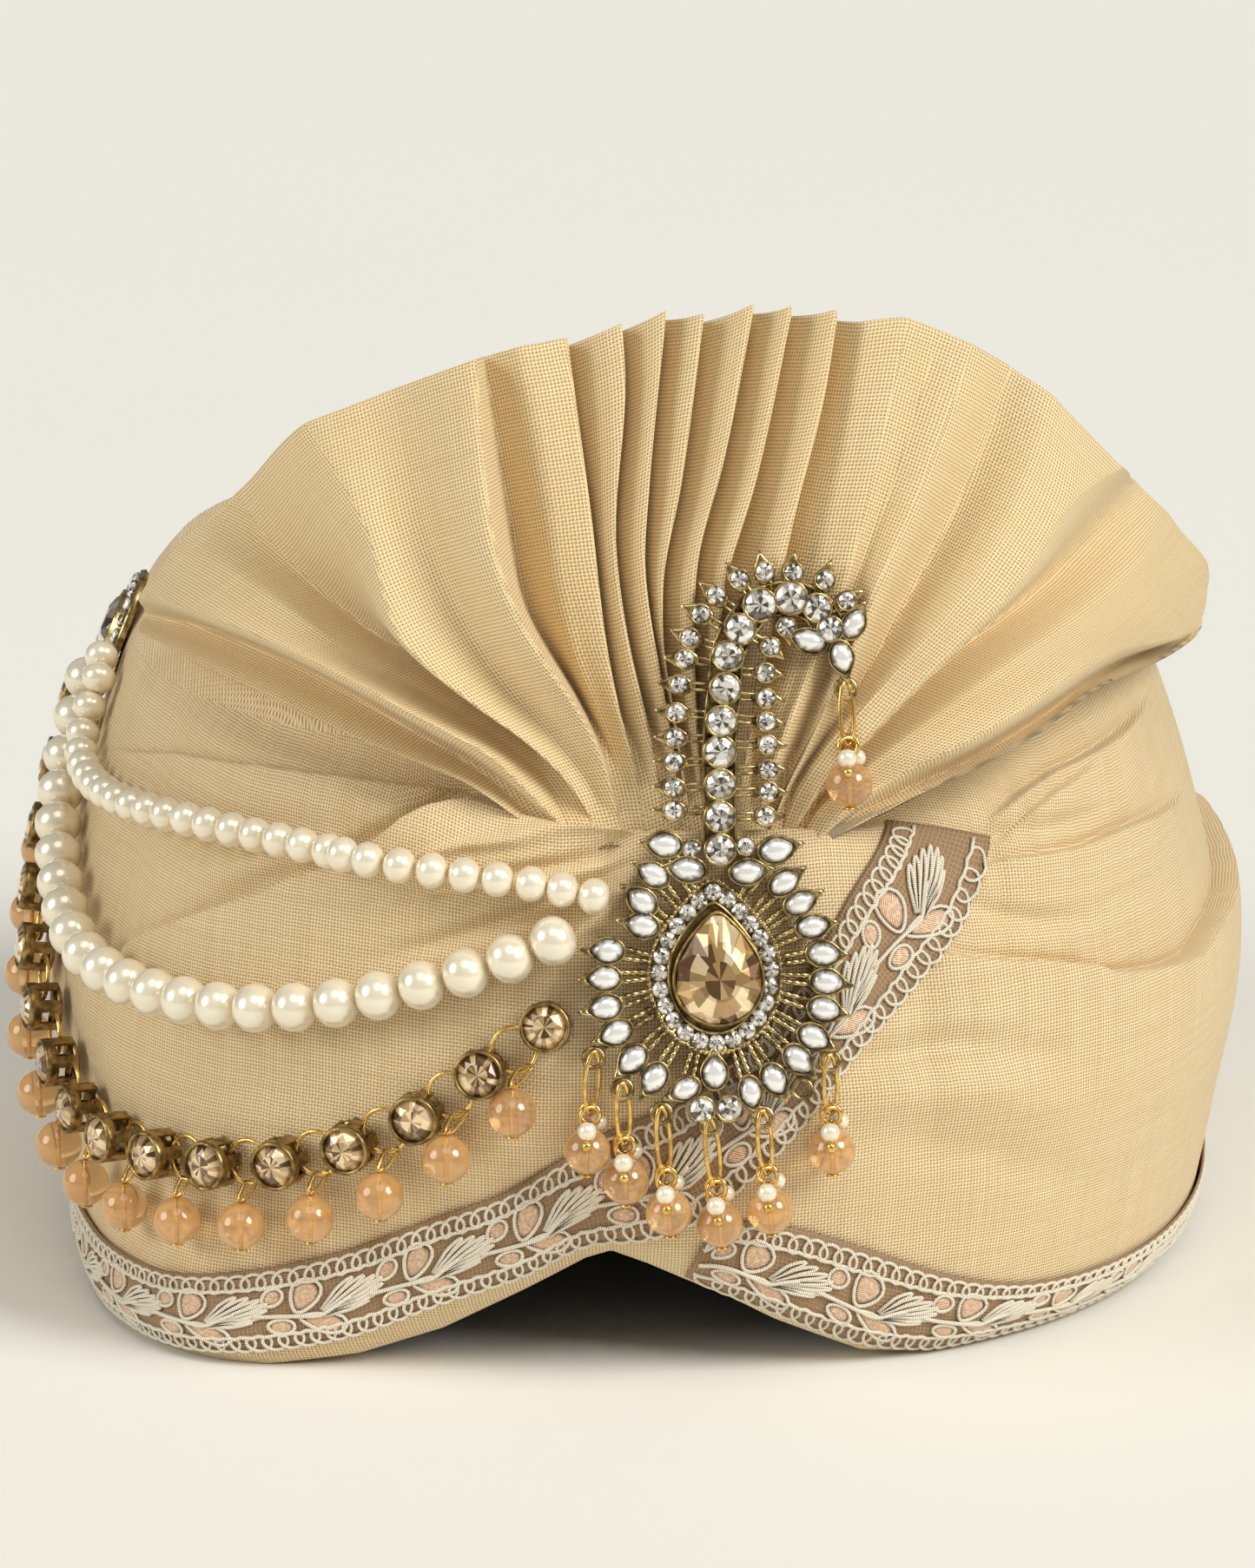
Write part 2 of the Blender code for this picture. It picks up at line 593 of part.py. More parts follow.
def make_fan():
    gaps = np.diff(column(FAN, FAN_COLUMNS, "angle"))
    u = [0.0]
    for i, gap in enumerate(gaps):
        if abs(gap) > 5.0:
            u.append(i + 0.5)
        u.append(i + 1.0)
    uu, vv = np.meshgrid(np.array(u), np.array(FAN_ROWS))
    front, away = fan_point(uu, vv)
    back = front.copy()
    back[..., :2] = back[..., :2] - away * FAN_THICK
    back = clear_of_body(back, FAN_GAP)
    front = clear_of_body(front, FAN_GAP + FAN_THICK)
    return slab("fan", front, back, (CLOTH, 0.0, 0.9))


def make_lace(name, rows, steps):
    names = LACE_COLUMNS
    run = np.arange(len(rows), dtype=float)
    at = np.linspace(0, len(rows) - 1, steps)
    across = np.array([0.0, 1.0])[:, None]
    value = {key: curve_through(run, column(rows, names, key), at) for key in names}
    angle = value["lower_angle"] + (value["upper_angle"] - value["lower_angle"]) * across
    t = value["lower_t"] + (value["upper_t"] - value["lower_t"]) * across
    t = np.maximum(t, rim_t(angle) + 0.006)
    out = outward(angle, t)
    base = on_body(angle, t)
    return slab(name, base + out * (LACE_GAP + LACE_THICK), base + out * LACE_GAP, (NET, 0.0, 0.8))


def make_string(name, rows, size, gap):
    """Round pearls fused through short necks, swept along the string's line."""
    radius = size / 2
    beads = body_path(rows, radius + gap, size)
    pitch = np.linalg.norm(np.diff(beads, axis=0), axis=1).mean()
    fine = []
    radii = []
    for k, here in enumerate(beads):
        before = beads[max(k - 1, 0)]
        after = beads[min(k + 1, len(beads) - 1)]
        step = (after - before) / np.linalg.norm(after - before)
        for along, share in ((-0.5, 0.42), (-0.24, 0.95), (0.24, 0.95)):
            fine.append(here + step * along * pitch)
            radii.append(radius * share)
    points, faces = sweep(fine, radii)
    return add_mesh(name, points, face_out(points, faces), (PEARL, 0.0, 0.25))


def make_tube(name, rows, size, gap):
    """The finer string of pearls as a round cord."""
    path = body_path(rows, size / 2 + gap, 2.4 * size) - np.array(SHIFT)
    data = bpy.data.curves.new(name, "CURVE")
    data.dimensions = "3D"
    data.bevel_depth = size / 2 * 0.9
    data.bevel_resolution = 2
    data.use_fill_caps = True
    line = data.splines.new("POLY")
    line.points.add(len(path) - 1)
    for point, place in zip(line.points, path):
        point.co = (*place, 1.0)
    data.materials.append(make_material(name + "_look", PEARL, 0.0, 0.25))
    made = bpy.data.objects.new(name, data)
    pieces.objects.link(made)
    return made


def make_chain():
    """Cups with cut stones, the wire between them and a glass bead hanging between each two, all one body."""
    angle, t = along_body(CHAIN, CUP_LIFT, CUP_PITCH)
    feet = on_body(angle, t, CUP_GAP)
    outs = outward(angle, t)
    middles = feet + outs * 0.0024
    solids = []
    down = np.array([0.0, 0.0, -1.0])
    rings = [(0.0, 0.0040), (0.0046, CUP_RADIUS), (0.0060, 0.0024)]
    bead_rings = [(-BEAD_RADIUS, 0.0010), (-0.0018, 0.0040), (0.0018, 0.0040), (BEAD_RADIUS, 0.0010)]
    for k, (foot, middle, out) in enumerate(zip(feet, middles, outs)):
        solids.append(lathe(foot, out, rings))
        if k:
            previous = middles[k - 1]
            step = (middle - previous) / np.linalg.norm(middle - previous)
            end = step * (CUP_RADIUS - 0.0008)
            solids.append(bar(previous + end, middle - end, 0.0006))
        if 0 < k < len(feet) - 2:
            hang = 0.5 * (middle + previous) + out * 0.0002
            bead = hang + down * 0.0112 + out * 0.0026
            solids.append(bar(hang - (down * 0.0112 + out * 0.0026) * 0.04, bead + down * -0.0036, 0.0006))
            solids.append(lathe(bead, down, bead_rings))
    return fuse("stone_chain", solids, (BRASS, 0.6, 0.35))


def brooch_axes():
    out = np.array([math.sin(BROOCH_TURN) * math.cos(BROOCH_LEAN), -math.cos(BROOCH_TURN) * math.cos(BROOCH_LEAN),
                    math.sin(BROOCH_LEAN)])
    right = np.cross((0, 0, 1.0), out)
    right = right / np.linalg.norm(right)
    return right, np.cross(out, right), out


def brooch_point(x, y, depth=0.0):
    right, up, out = brooch_axes()
    return np.array(BROOCH_AT) + right * x + up * y + out * depth


def halo(turn, width, below, above):
    """Pear outline: round below, drawn to a point above."""
    s = np.sin(turn)
    c = np.cos(turn)
    x = width * c * np.where(s > 0, (1 - s**2 * 0.42), 1.0)
    return x, np.where(s > 0, above * s, below * s)


def pear_ring(width, below, above, inner, low, high, count=16):
    turn = np.arange(count) * 2 * np.pi / count + np.pi / 2
    outline = [(1.0, low), (1.0, high), (inner, high), (inner, low)]
    points = []
    for share, depth in outline:
        x, y = halo(turn, width * share, below * share, above * share)
        points += [brooch_point(a, b, depth) for a, b in zip(x, y)]
    points = np.array(points)
    faces = []
    for r in range(4):
        for c in range(count):
            d = (c + 1) % count
            e = (r + 1) % 4
            faces.append((r * count + c, r * count + d, e * count + d, e * count + c))
    return points, face_out(points, faces)


def flat_arm(start, end, widths, shares, low, high):
    """A flat tapered bar on the brooch's plane that ends in a point."""
    start = np.asarray(start, float)
    end = np.asarray(end, float)
    line = end - start
    cross = np.array([-line[1], line[0]]) / np.linalg.norm(line)
    points = []
    for share, width in zip(shares, widths):
        middle = start + line * share
        for side, depth in ((-1, low), (1, low), (1, high), (-1, high)):
            points.append(brooch_point(*(middle + cross * side * width / 2), depth))
    points.append(brooch_point(*end, (low + high) / 2))
    faces = grid_faces(len(shares), 4, closed=True)
    last = (len(shares) - 1) * 4
    faces.append((3, 2, 1, 0))
    faces += [(last + c, last + (c + 1) % 4, last + 4) for c in range(4)]
    points = np.array(points)
    return points, face_out(points, faces)


def stone(x, y, size, low):
    """A round cut stone in its setting: a girdle, eight crown facets and a table."""
    _, _, out = brooch_axes()
    at = brooch_point(x, y, low)
    return lathe(at, out, [(0.0, size * 0.5), (0.0024, size * 0.29)], 8)


def make_brooch():
    solids = [pear_ring(HALO_WIDTH + 0.0022, HALO_BELOW + 0.0020, HALO_ABOVE + 0.0024, 0.60, -0.0004, 0.0024)]
    for x, y, direction in ARMS:
        turn = math.radians(direction)
        way = np.array([math.cos(turn), math.sin(turn)])
        middle = np.array([x, y])
        around = np.linspace(0, 2 * np.pi, 180)
        rim = np.stack(halo(around, HALO_WIDTH, HALO_BELOW, HALO_ABOVE), 1)
        start = min(rim, key=lambda p: np.linalg.norm(p - middle))
        end = middle + way * ARM_LENGTH / 2
        length = np.linalg.norm(end - start)
        neck = max(0.08, 1 - ARM_LENGTH / length)
        widths = (0.0012, 0.0014, ARM_WIDTH, ARM_WIDTH)
        shares = (0.0, neck, neck + (1 - neck) * 0.25, neck + (1 - neck) * 0.60)
        solids.append(flat_arm(start, end, widths, shares, 0.0002, 0.0002 + ARM_THICK))
    line = np.array([(x, y) for x, y, _ in STEM] + [HOOK_END])
    solids.append(flat_strip(np.vstack([[0.0013, 0.0150], line]), STEM_WIDTH, 0.0000, 0.0016))
    for x, y, size in STEM:
        solids.append(stone(x, y, size, 0.0010))
    step = np.gradient(line[:-1], axis=0)
    for (x, y, _), (dx, dy) in zip(STEM[1:], step[1:]):
        size = math.hypot(dx, dy)
        left = np.array([-dy, dx]) / size
        base = np.array([x, y])
        solids.append(flat_arm(base, base + left * (SIDE_STONE_OUT + 0.0022), (0.0016, 0.0034), (0.0, 0.78),
                               0.0003, 0.0019))
        if y < 0.060 and x < 0.010:
            solids.append(flat_arm(base, base - left * (SIDE_STONE_OUT + 0.0022), (0.0016, 0.0034), (0.0, 0.78),
                                   0.0003, 0.0019))
    right, up, out = brooch_axes()
    for _, x, y, _, _, _ in DROPS:
        solids.append(wire_ring(brooch_point(x, y, 0.0012), right, up, 0.0017, 0.0017, 0.0004, 10))
        eyelet = np.array([x, y])
        holders = [np.array(row[:2]) for row in ARMS] + [np.array(HOOK_END)]
        holder = min(holders, key=lambda p: np.linalg.norm(p - eyelet))
        reach = (eyelet - holder) / np.linalg.norm(eyelet - holder)
        solids.append(flat_box(holder, eyelet - reach * 0.0016, 0.0012, 0.0006, 0.0018))
    return fuse("brooch_frame", solids, (GOLD, 1.0, 0.32))


def flat_strip(line, width, low, high):
    """A flat bar of one width along a bent line on the brooch's plane."""
    step = np.gradient(line, axis=0)
    cross = np.stack([-step[:, 1], step[:, 0]], 1) / np.linalg.norm(step, axis=1, keepdims=True) * width / 2
    points = []
    for middle, side in zip(line, cross):
        for p, depth in ((middle - side, low), (middle + side, low), (middle + side, high), (middle - side, high)):
            points.append(brooch_point(*p, depth))
    faces = grid_faces(len(line), 4, closed=True)
    last = (len(line) - 1) * 4
    faces += [(3, 2, 1, 0), (last, last + 1, last + 2, last + 3)]
    points = np.array(points)
    return points, face_out(points, faces)


def flat_box(a, b, width, low, high):
    """A flat bar with square ends on the brooch's plane."""
    a = np.asarray(a, float)
    b = np.asarray(b, float)
    line = b - a
    cross = np.array([-line[1], line[0]]) / np.linalg.norm(line) * width / 2
    corners = [a - cross, b - cross, b + cross, a + cross]
    points = np.array([brooch_point(*p, low) for p in corners] + [brooch_point(*p, high) for p in corners])
    faces = [(0, 3, 2, 1), (4, 5, 6, 7)] + [(k, (k + 1) % 4, (k + 1) % 4 + 4, k + 4) for k in range(4)]
    return points, face_out(points, faces)


def make_centre_stone():
    """A pear cut stone: back, girdle, crown facets and table, held in the halo's opening."""
    count = 12
    turn = np.arange(count) * 2 * np.pi / count + np.pi / 2
    points = []
    for share, depth in ((0.30, 0.0002), (0.92, 0.0022), (0.96, 0.0032), (0.52, 0.0050)):
        x, y = halo(turn, 0.0073 * share, 0.0093 * share, 0.0108 * share)
        points += [brooch_point(a, b, depth) for a, b in zip(x, y)]
    points = np.array(points)
    faces = grid_faces(4, count, closed=True)
    faces += [tuple(range(count))[::-1], tuple(range(3 * count, 4 * count))]
    return add_mesh("centre_stone", points, face_out(points, faces), (CHAMPAGNE, 0.0, 0.05))


def make_drop(name, x, y, bead_x, bead_y, forward_share):
    """Oval link through the eyelet, then a wire, a cap and a glass bead, hanging plumb but for its swing."""
    _, _, out = brooch_axes()
    top = brooch_point(x, y, 0.0012)
    length = y - bead_y
    down = np.array([(bead_x - x) / length, -forward_share, -1.0])
    down = down / np.linalg.norm(down)
    forward = np.array([0.0, -1.0, 0.0])
    forward = forward - down * (forward @ down)
    forward = forward / np.linalg.norm(forward)
    ring_middle = top + down * 0.0026 + forward * 0.0004
    solids = [wire_ring(ring_middle, forward, down, 0.0029, 0.0015, 0.0004, 10)]
    bead = length - 0.0050
    rings = [
        (0.0, 0.0006), (bead - 0.0044, 0.0012), (bead - 0.0018, DROP_BEAD * 0.95), (bead + 0.0018, DROP_BEAD * 0.95),
        (bead + 0.0041, 0.0010),
    ]
    solids.append(lathe(ring_middle + down * 0.0024, down, rings))
    return fuse(name, solids, (CHAMPAGNE, 0.1, 0.15))


def make_side_brooch():
    angle, t = SIDE_BROOCH
    out = outward(np.array(angle), np.array(t))
    foot = on_body(np.array(angle), np.array(t), 0.0002)
    up = np.array([0, 0, 1.0]) - out * out[2]
    up = up / np.linalg.norm(up)
    across = np.cross(up, out)
    count = 16
    turn = np.arange(count) * 2 * np.pi / count
    points = []
    for depth, share in ((0.0, 0.96), (0.0014, 1.0), (0.0026, 0.80), (0.0030, 0.56), (0.0050, 0.36)):
        for a in turn:
            place = foot + out * depth + across * math.cos(a) * SIDE_BROOCH_WIDTH * share
            points.append(place + up * math.sin(a) * SIDE_BROOCH_HEIGHT * share)
    points = np.array(points)
    faces = grid_faces(5, count, closed=True)
    faces += [tuple(range(count))[::-1], tuple(range(4 * count, 5 * count))]
    return add_mesh("side_brooch", points, face_out(points, faces), (GOLD, 1.0, 0.3))


make_body()
make_fan()
make_lace("lace_left", LACE_LEFT, 50)
make_lace("lace_right", LACE_RIGHT, 34)
make_string("pearl_string_lower", STRING_LOWER, PEARL_LARGE, 0.0004)
make_tube("pearl_string_upper", STRING_UPPER, PEARL_SMALL, 0.0008)
make_chain()
make_brooch()
make_centre_stone()
make_side_brooch()
for drop in DROPS:
    make_drop(*drop)
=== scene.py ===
"""Tied turban (pagri): wound cloth body, pleated fan, lace bands, brooches, pearl strings and stone chain.

Metres, +Z up, the front faces -Y, +X is the viewer's right. Angles in the tables are degrees, and the tables
of the brooch and of the lace's drawing are in millimetres. The shapes are worked out in the turban's own
coordinates and moved by SHIFT into the shared frame when they become meshes.
"""

import math

import bmesh
import bpy
import numpy as np
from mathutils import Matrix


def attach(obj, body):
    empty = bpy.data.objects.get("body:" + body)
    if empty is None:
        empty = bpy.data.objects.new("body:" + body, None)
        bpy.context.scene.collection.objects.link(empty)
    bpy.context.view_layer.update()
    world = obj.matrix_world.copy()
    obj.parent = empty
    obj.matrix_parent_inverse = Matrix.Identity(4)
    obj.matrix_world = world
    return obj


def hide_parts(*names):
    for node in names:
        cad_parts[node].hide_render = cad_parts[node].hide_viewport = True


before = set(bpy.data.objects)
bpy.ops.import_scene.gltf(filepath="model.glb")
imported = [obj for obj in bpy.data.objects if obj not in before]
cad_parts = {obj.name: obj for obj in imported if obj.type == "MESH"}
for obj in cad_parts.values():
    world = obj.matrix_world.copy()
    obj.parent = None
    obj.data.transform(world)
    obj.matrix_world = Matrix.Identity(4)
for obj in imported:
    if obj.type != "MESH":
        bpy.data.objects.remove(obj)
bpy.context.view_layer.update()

MM = 0.001

# Sizes of the whole turban
HALF_WIDTH = 0.112
HALF_DEPTH = 0.126
CROWN_HEIGHT = 0.142
SQUARENESS = 2.3
HEAD_HALF_WIDTH = 0.082
HEAD_HALF_DEPTH = 0.100
HEAD_HEIGHT = 0.124
RIM_CURL = 0.0035
CURL_HEIGHT = 0.007
WALL_LENGTH = 0.180
SHIFT = np.array((-0.0020, -0.0049, 0.0))

# Folds of the cloth: how deep it dips just above each fold's line, as a share of the step, how far above it
# and how wide in metres, and how far the crest leans over, as a share of the step
DIP_SHARE = 0.20
DIP_ABOVE = 0.0009
DIP_WIDTH = 0.0012
LEAN_SHARE = 0.42

# Corner that stands out at the front left of the rim
CORNER_SHARE = 0.15
CORNER_ANGLE = -41.0
CORNER_SPREAD = 15.0
CORNER_TOP = 0.42

# Outline of the body: t runs from the rim to the crown, reach is a share of the half sizes, height of
# CROWN_HEIGHT
# Columns: t, reach, height
PROFILE = (
    (0.00, 0.945, 0.000),
    (0.15, 0.978, 0.175),
    (0.30, 1.000, 0.360),
    (0.45, 0.955, 0.545),
    (0.60, 0.890, 0.709),
    (0.72, 0.825, 0.822),
    (0.82, 0.670, 0.918),
    (0.91, 0.390, 0.978),
    (1.00, 0.000, 1.000),
)

# Notch of the rim at the front: where the rim is cut on the body's t at each angle from the front
# Columns: angle, t
NOTCH = (
    (-180.0, 0.000),
    (-34.0, 0.000),
    (-26.5, 0.015),
    (-19.0, 0.047),
    (-11.0, 0.097),
    (-5.0, 0.136),
    (-2.5, 0.145),
    (1.0, 0.130),
    (9.5, 0.086),
    (13.5, 0.060),
    (22.5, 0.013),
    (29.0, 0.000),
    (180.0, 0.000),
)

# The picture, and the camera that took it, in the shared frame: for lines that were followed in the
# picture, whose places are its own pixels, across and down
PICTURE = (1445.0, 1806.0)
PIXELS_FAR = 7680.0
CAMERA_FAR = 1.28
CAMERA_TILT = math.radians(14.5)
CAMERA_TARGET = np.array((0.0003, 0.0049, 0.078))

# Folds seen in the picture: how sharply the cloth steps out below each line and how soon that dies away
# downwards, in metres, then the line: pixel across, pixel down, and the step there in mm
FOLDS_SEEN = (
    ("tuck_left", 0.0007, 0.018,
     (120, 858, 0.5), (200, 866, 1.6), (300, 882, 2), (400, 895, 2.2), (500, 906, 2), (548, 912, 0)),
    ("roll_left", 0.0016, 0.024,
     (118, 1098, 0.3), (150, 1080, 2.2), (200, 1062, 3), (260, 1042, 3.2), (300, 1030, 3.4), (340, 1012, 3.8),
     (380, 1000, 4), (440, 972, 5), (470, 950, 6), (500, 936, 6.5), (540, 926, 6.8), (600, 944, 6.5),
     (650, 955, 6), (740, 962, 5.2), (830, 962, 5), (900, 958, 4.5), (960, 954, 3.2), (1010, 946, 1.5),
     (1045, 936, 0)),
    ("crease_right", 0.0012, 0.016,
     (1145, 940, 0.5), (1180, 912, 2.6), (1215, 890, 3.4), (1250, 874, 3.4), (1285, 852, 3), (1312, 826, 1.8),
     (1330, 800, 0.2)),
    ("crease_small", 0.0008, 0.007,
     (1155, 970, 0.3), (1185, 936, 1.7), (1210, 915, 2.2), (1240, 895, 1.7), (1264, 876, 0.3)),
    ("pleat_right", 0.0010, 0.014,
     (1120, 1000, 0.3), (1160, 988, 1.7), (1200, 986, 2.8), (1250, 976, 3.6), (1280, 962, 4.1),
     (1310, 951, 4.1),
     (1335, 938, 2.8), (1358, 922, 1.4), (1374, 906, 0.2)),
    ("wrap_right", 0.0010, 0.036,
     (1070, 1094, 0.4), (1100, 1098, 1.9), (1130, 1105, 3), (1200, 1112, 4.3), (1245, 1116, 4.9),
     (1275, 1127, 5.1), (1300, 1125, 5.1), (1340, 1118, 5.1), (1370, 1105, 5.1), (1386, 1080, 5.1)),
)

# Folds at the back, and where the right one goes on round it: places with angle, t and step in mm
FOLDS_BEHIND = (
    ("wrap_right", 0.0010, 0.036, (84.0, 0.375, 5.0), (104.0, 0.385, 4.0), (122.0, 0.390, 0.0)),
    ("back_low", 0.0016, 0.036,
     (112.0, 0.300, 0.0), (122.0, 0.312, 2.6), (180.0, 0.360, 2.8), (240.0, 0.314, 2.6), (250.0, 0.300, 0.0)),
    ("back_high", 0.0016, 0.036,
     (112.0, 0.560, 0.0), (122.0, 0.572, 2.2), (180.0, 0.600, 2.4), (252.0, 0.552, 2.2), (262.0, 0.540, 0.0)),
    ("back_crown", 0.0016, 0.030,
     (96.0, 0.765, 0.0), (106.0, 0.768, 2.2), (180.0, 0.775, 2.2), (256.0, 0.762, 2.2), (266.0, 0.760, 0.0)),
)

# Creases seen in the picture: half width in metres, then pixel across, pixel down, and how far the cloth
# stands out or in there, in mm
CREASES_SEEN = (
    ("gather_1", 0.0013,
     (742, 972, 0), (700, 985, -2.5), (620, 1000, -2.2), (520, 1022, -1.8), (420, 1040, 0)),
    ("gather_2", 0.0018,
     (742, 985, 0), (690, 1012, -2.2), (610, 1048, -2.1), (500, 1085, -1.2), (420, 1105, 0)),
    ("gather_3", 0.0011,
     (740, 965, 0), (690, 966, 2.2), (620, 968, 2.1), (540, 975, 1.5), (480, 990, 0)),
    ("gather_4", 0.0022,
     (742, 1000, 0), (700, 1045, 1.8), (640, 1095, 1.8), (560, 1140, 1), (480, 1170, 0)),
    ("under_fan_left", 0.0070,
     (180, 775, 0), (260, 812, -2.5), (400, 862, -4), (520, 902, -4.5), (600, 930, -4), (700, 955, -2.5),
     (760, 965, 0)),
    ("under_fan_right", 0.0060,
     (920, 955, 0), (1000, 932, -3), (1100, 888, -3.5), (1190, 838, -3), (1270, 790, -2), (1340, 742, 0)),
    ("dip_above", 0.0024,
     (200, 1050, 0), (300, 1012, -1.5), (380, 985, -2), (450, 950, -2.4), (500, 925, -2), (540, 916, 0)),
    ("dip_right", 0.0022,
     (1095, 1030, 0), (1150, 1050, -1.5), (1200, 1060, -1.5), (1280, 1056, 0)),
    ("right_1", 0.0032,
     (950, 1245, 0), (1010, 1222, -1.7), (1100, 1203, -1.9), (1190, 1208, -1), (1260, 1220, 0)),
    ("right_2", 0.0036,
     (955, 1275, 0), (1040, 1262, 1.4), (1150, 1258, 1.4), (1260, 1275, 0)),
    ("right_3", 0.0040,
     (960, 1320, 0), (1060, 1322, -1), (1160, 1335, -1.2), (1260, 1360, 0)),
    ("right_4", 0.0020,
     (1115, 955, 0), (1160, 960, -1.4), (1220, 950, -1.5), (1290, 925, 0)),
    ("left_1", 0.0040,
     (150, 935, 0), (250, 955, -1.2), (350, 962, -1.2), (430, 955, 0)),
    ("left_2", 0.0036,
     (160, 1000, 0), (250, 1000, 1), (330, 985, 1), (400, 965, 0)),
    ("left_3", 0.0060,
     (110, 1180, 0), (220, 1230, -1), (360, 1260, -1), (500, 1250, 0)),
    ("left_4", 0.0050,
     (500, 1330, 0), (560, 1300, 1.2), (640, 1250, 1.4), (700, 1200, 0)),
    ("mid_1", 0.0040,
     (560, 1420, 0), (620, 1370, -1.2), (680, 1310, -1.4), (720, 1240, 0)),
)

# Fan
KNOT = (0.1295 * HALF_WIDTH, 0.0115 - HALF_DEPTH, 0.6796 * CROWN_HEIGHT)
FAN_LEAN = math.tan(math.radians(12.0))
FAN_SWEEP = 0.074
FAN_SWEEP_POWER = 3.4
FAN_REACH_LEFT = 0.109
FAN_REACH_RIGHT = 0.083
FAN_THICK = 0.0013
FAN_GAP = 0.0006

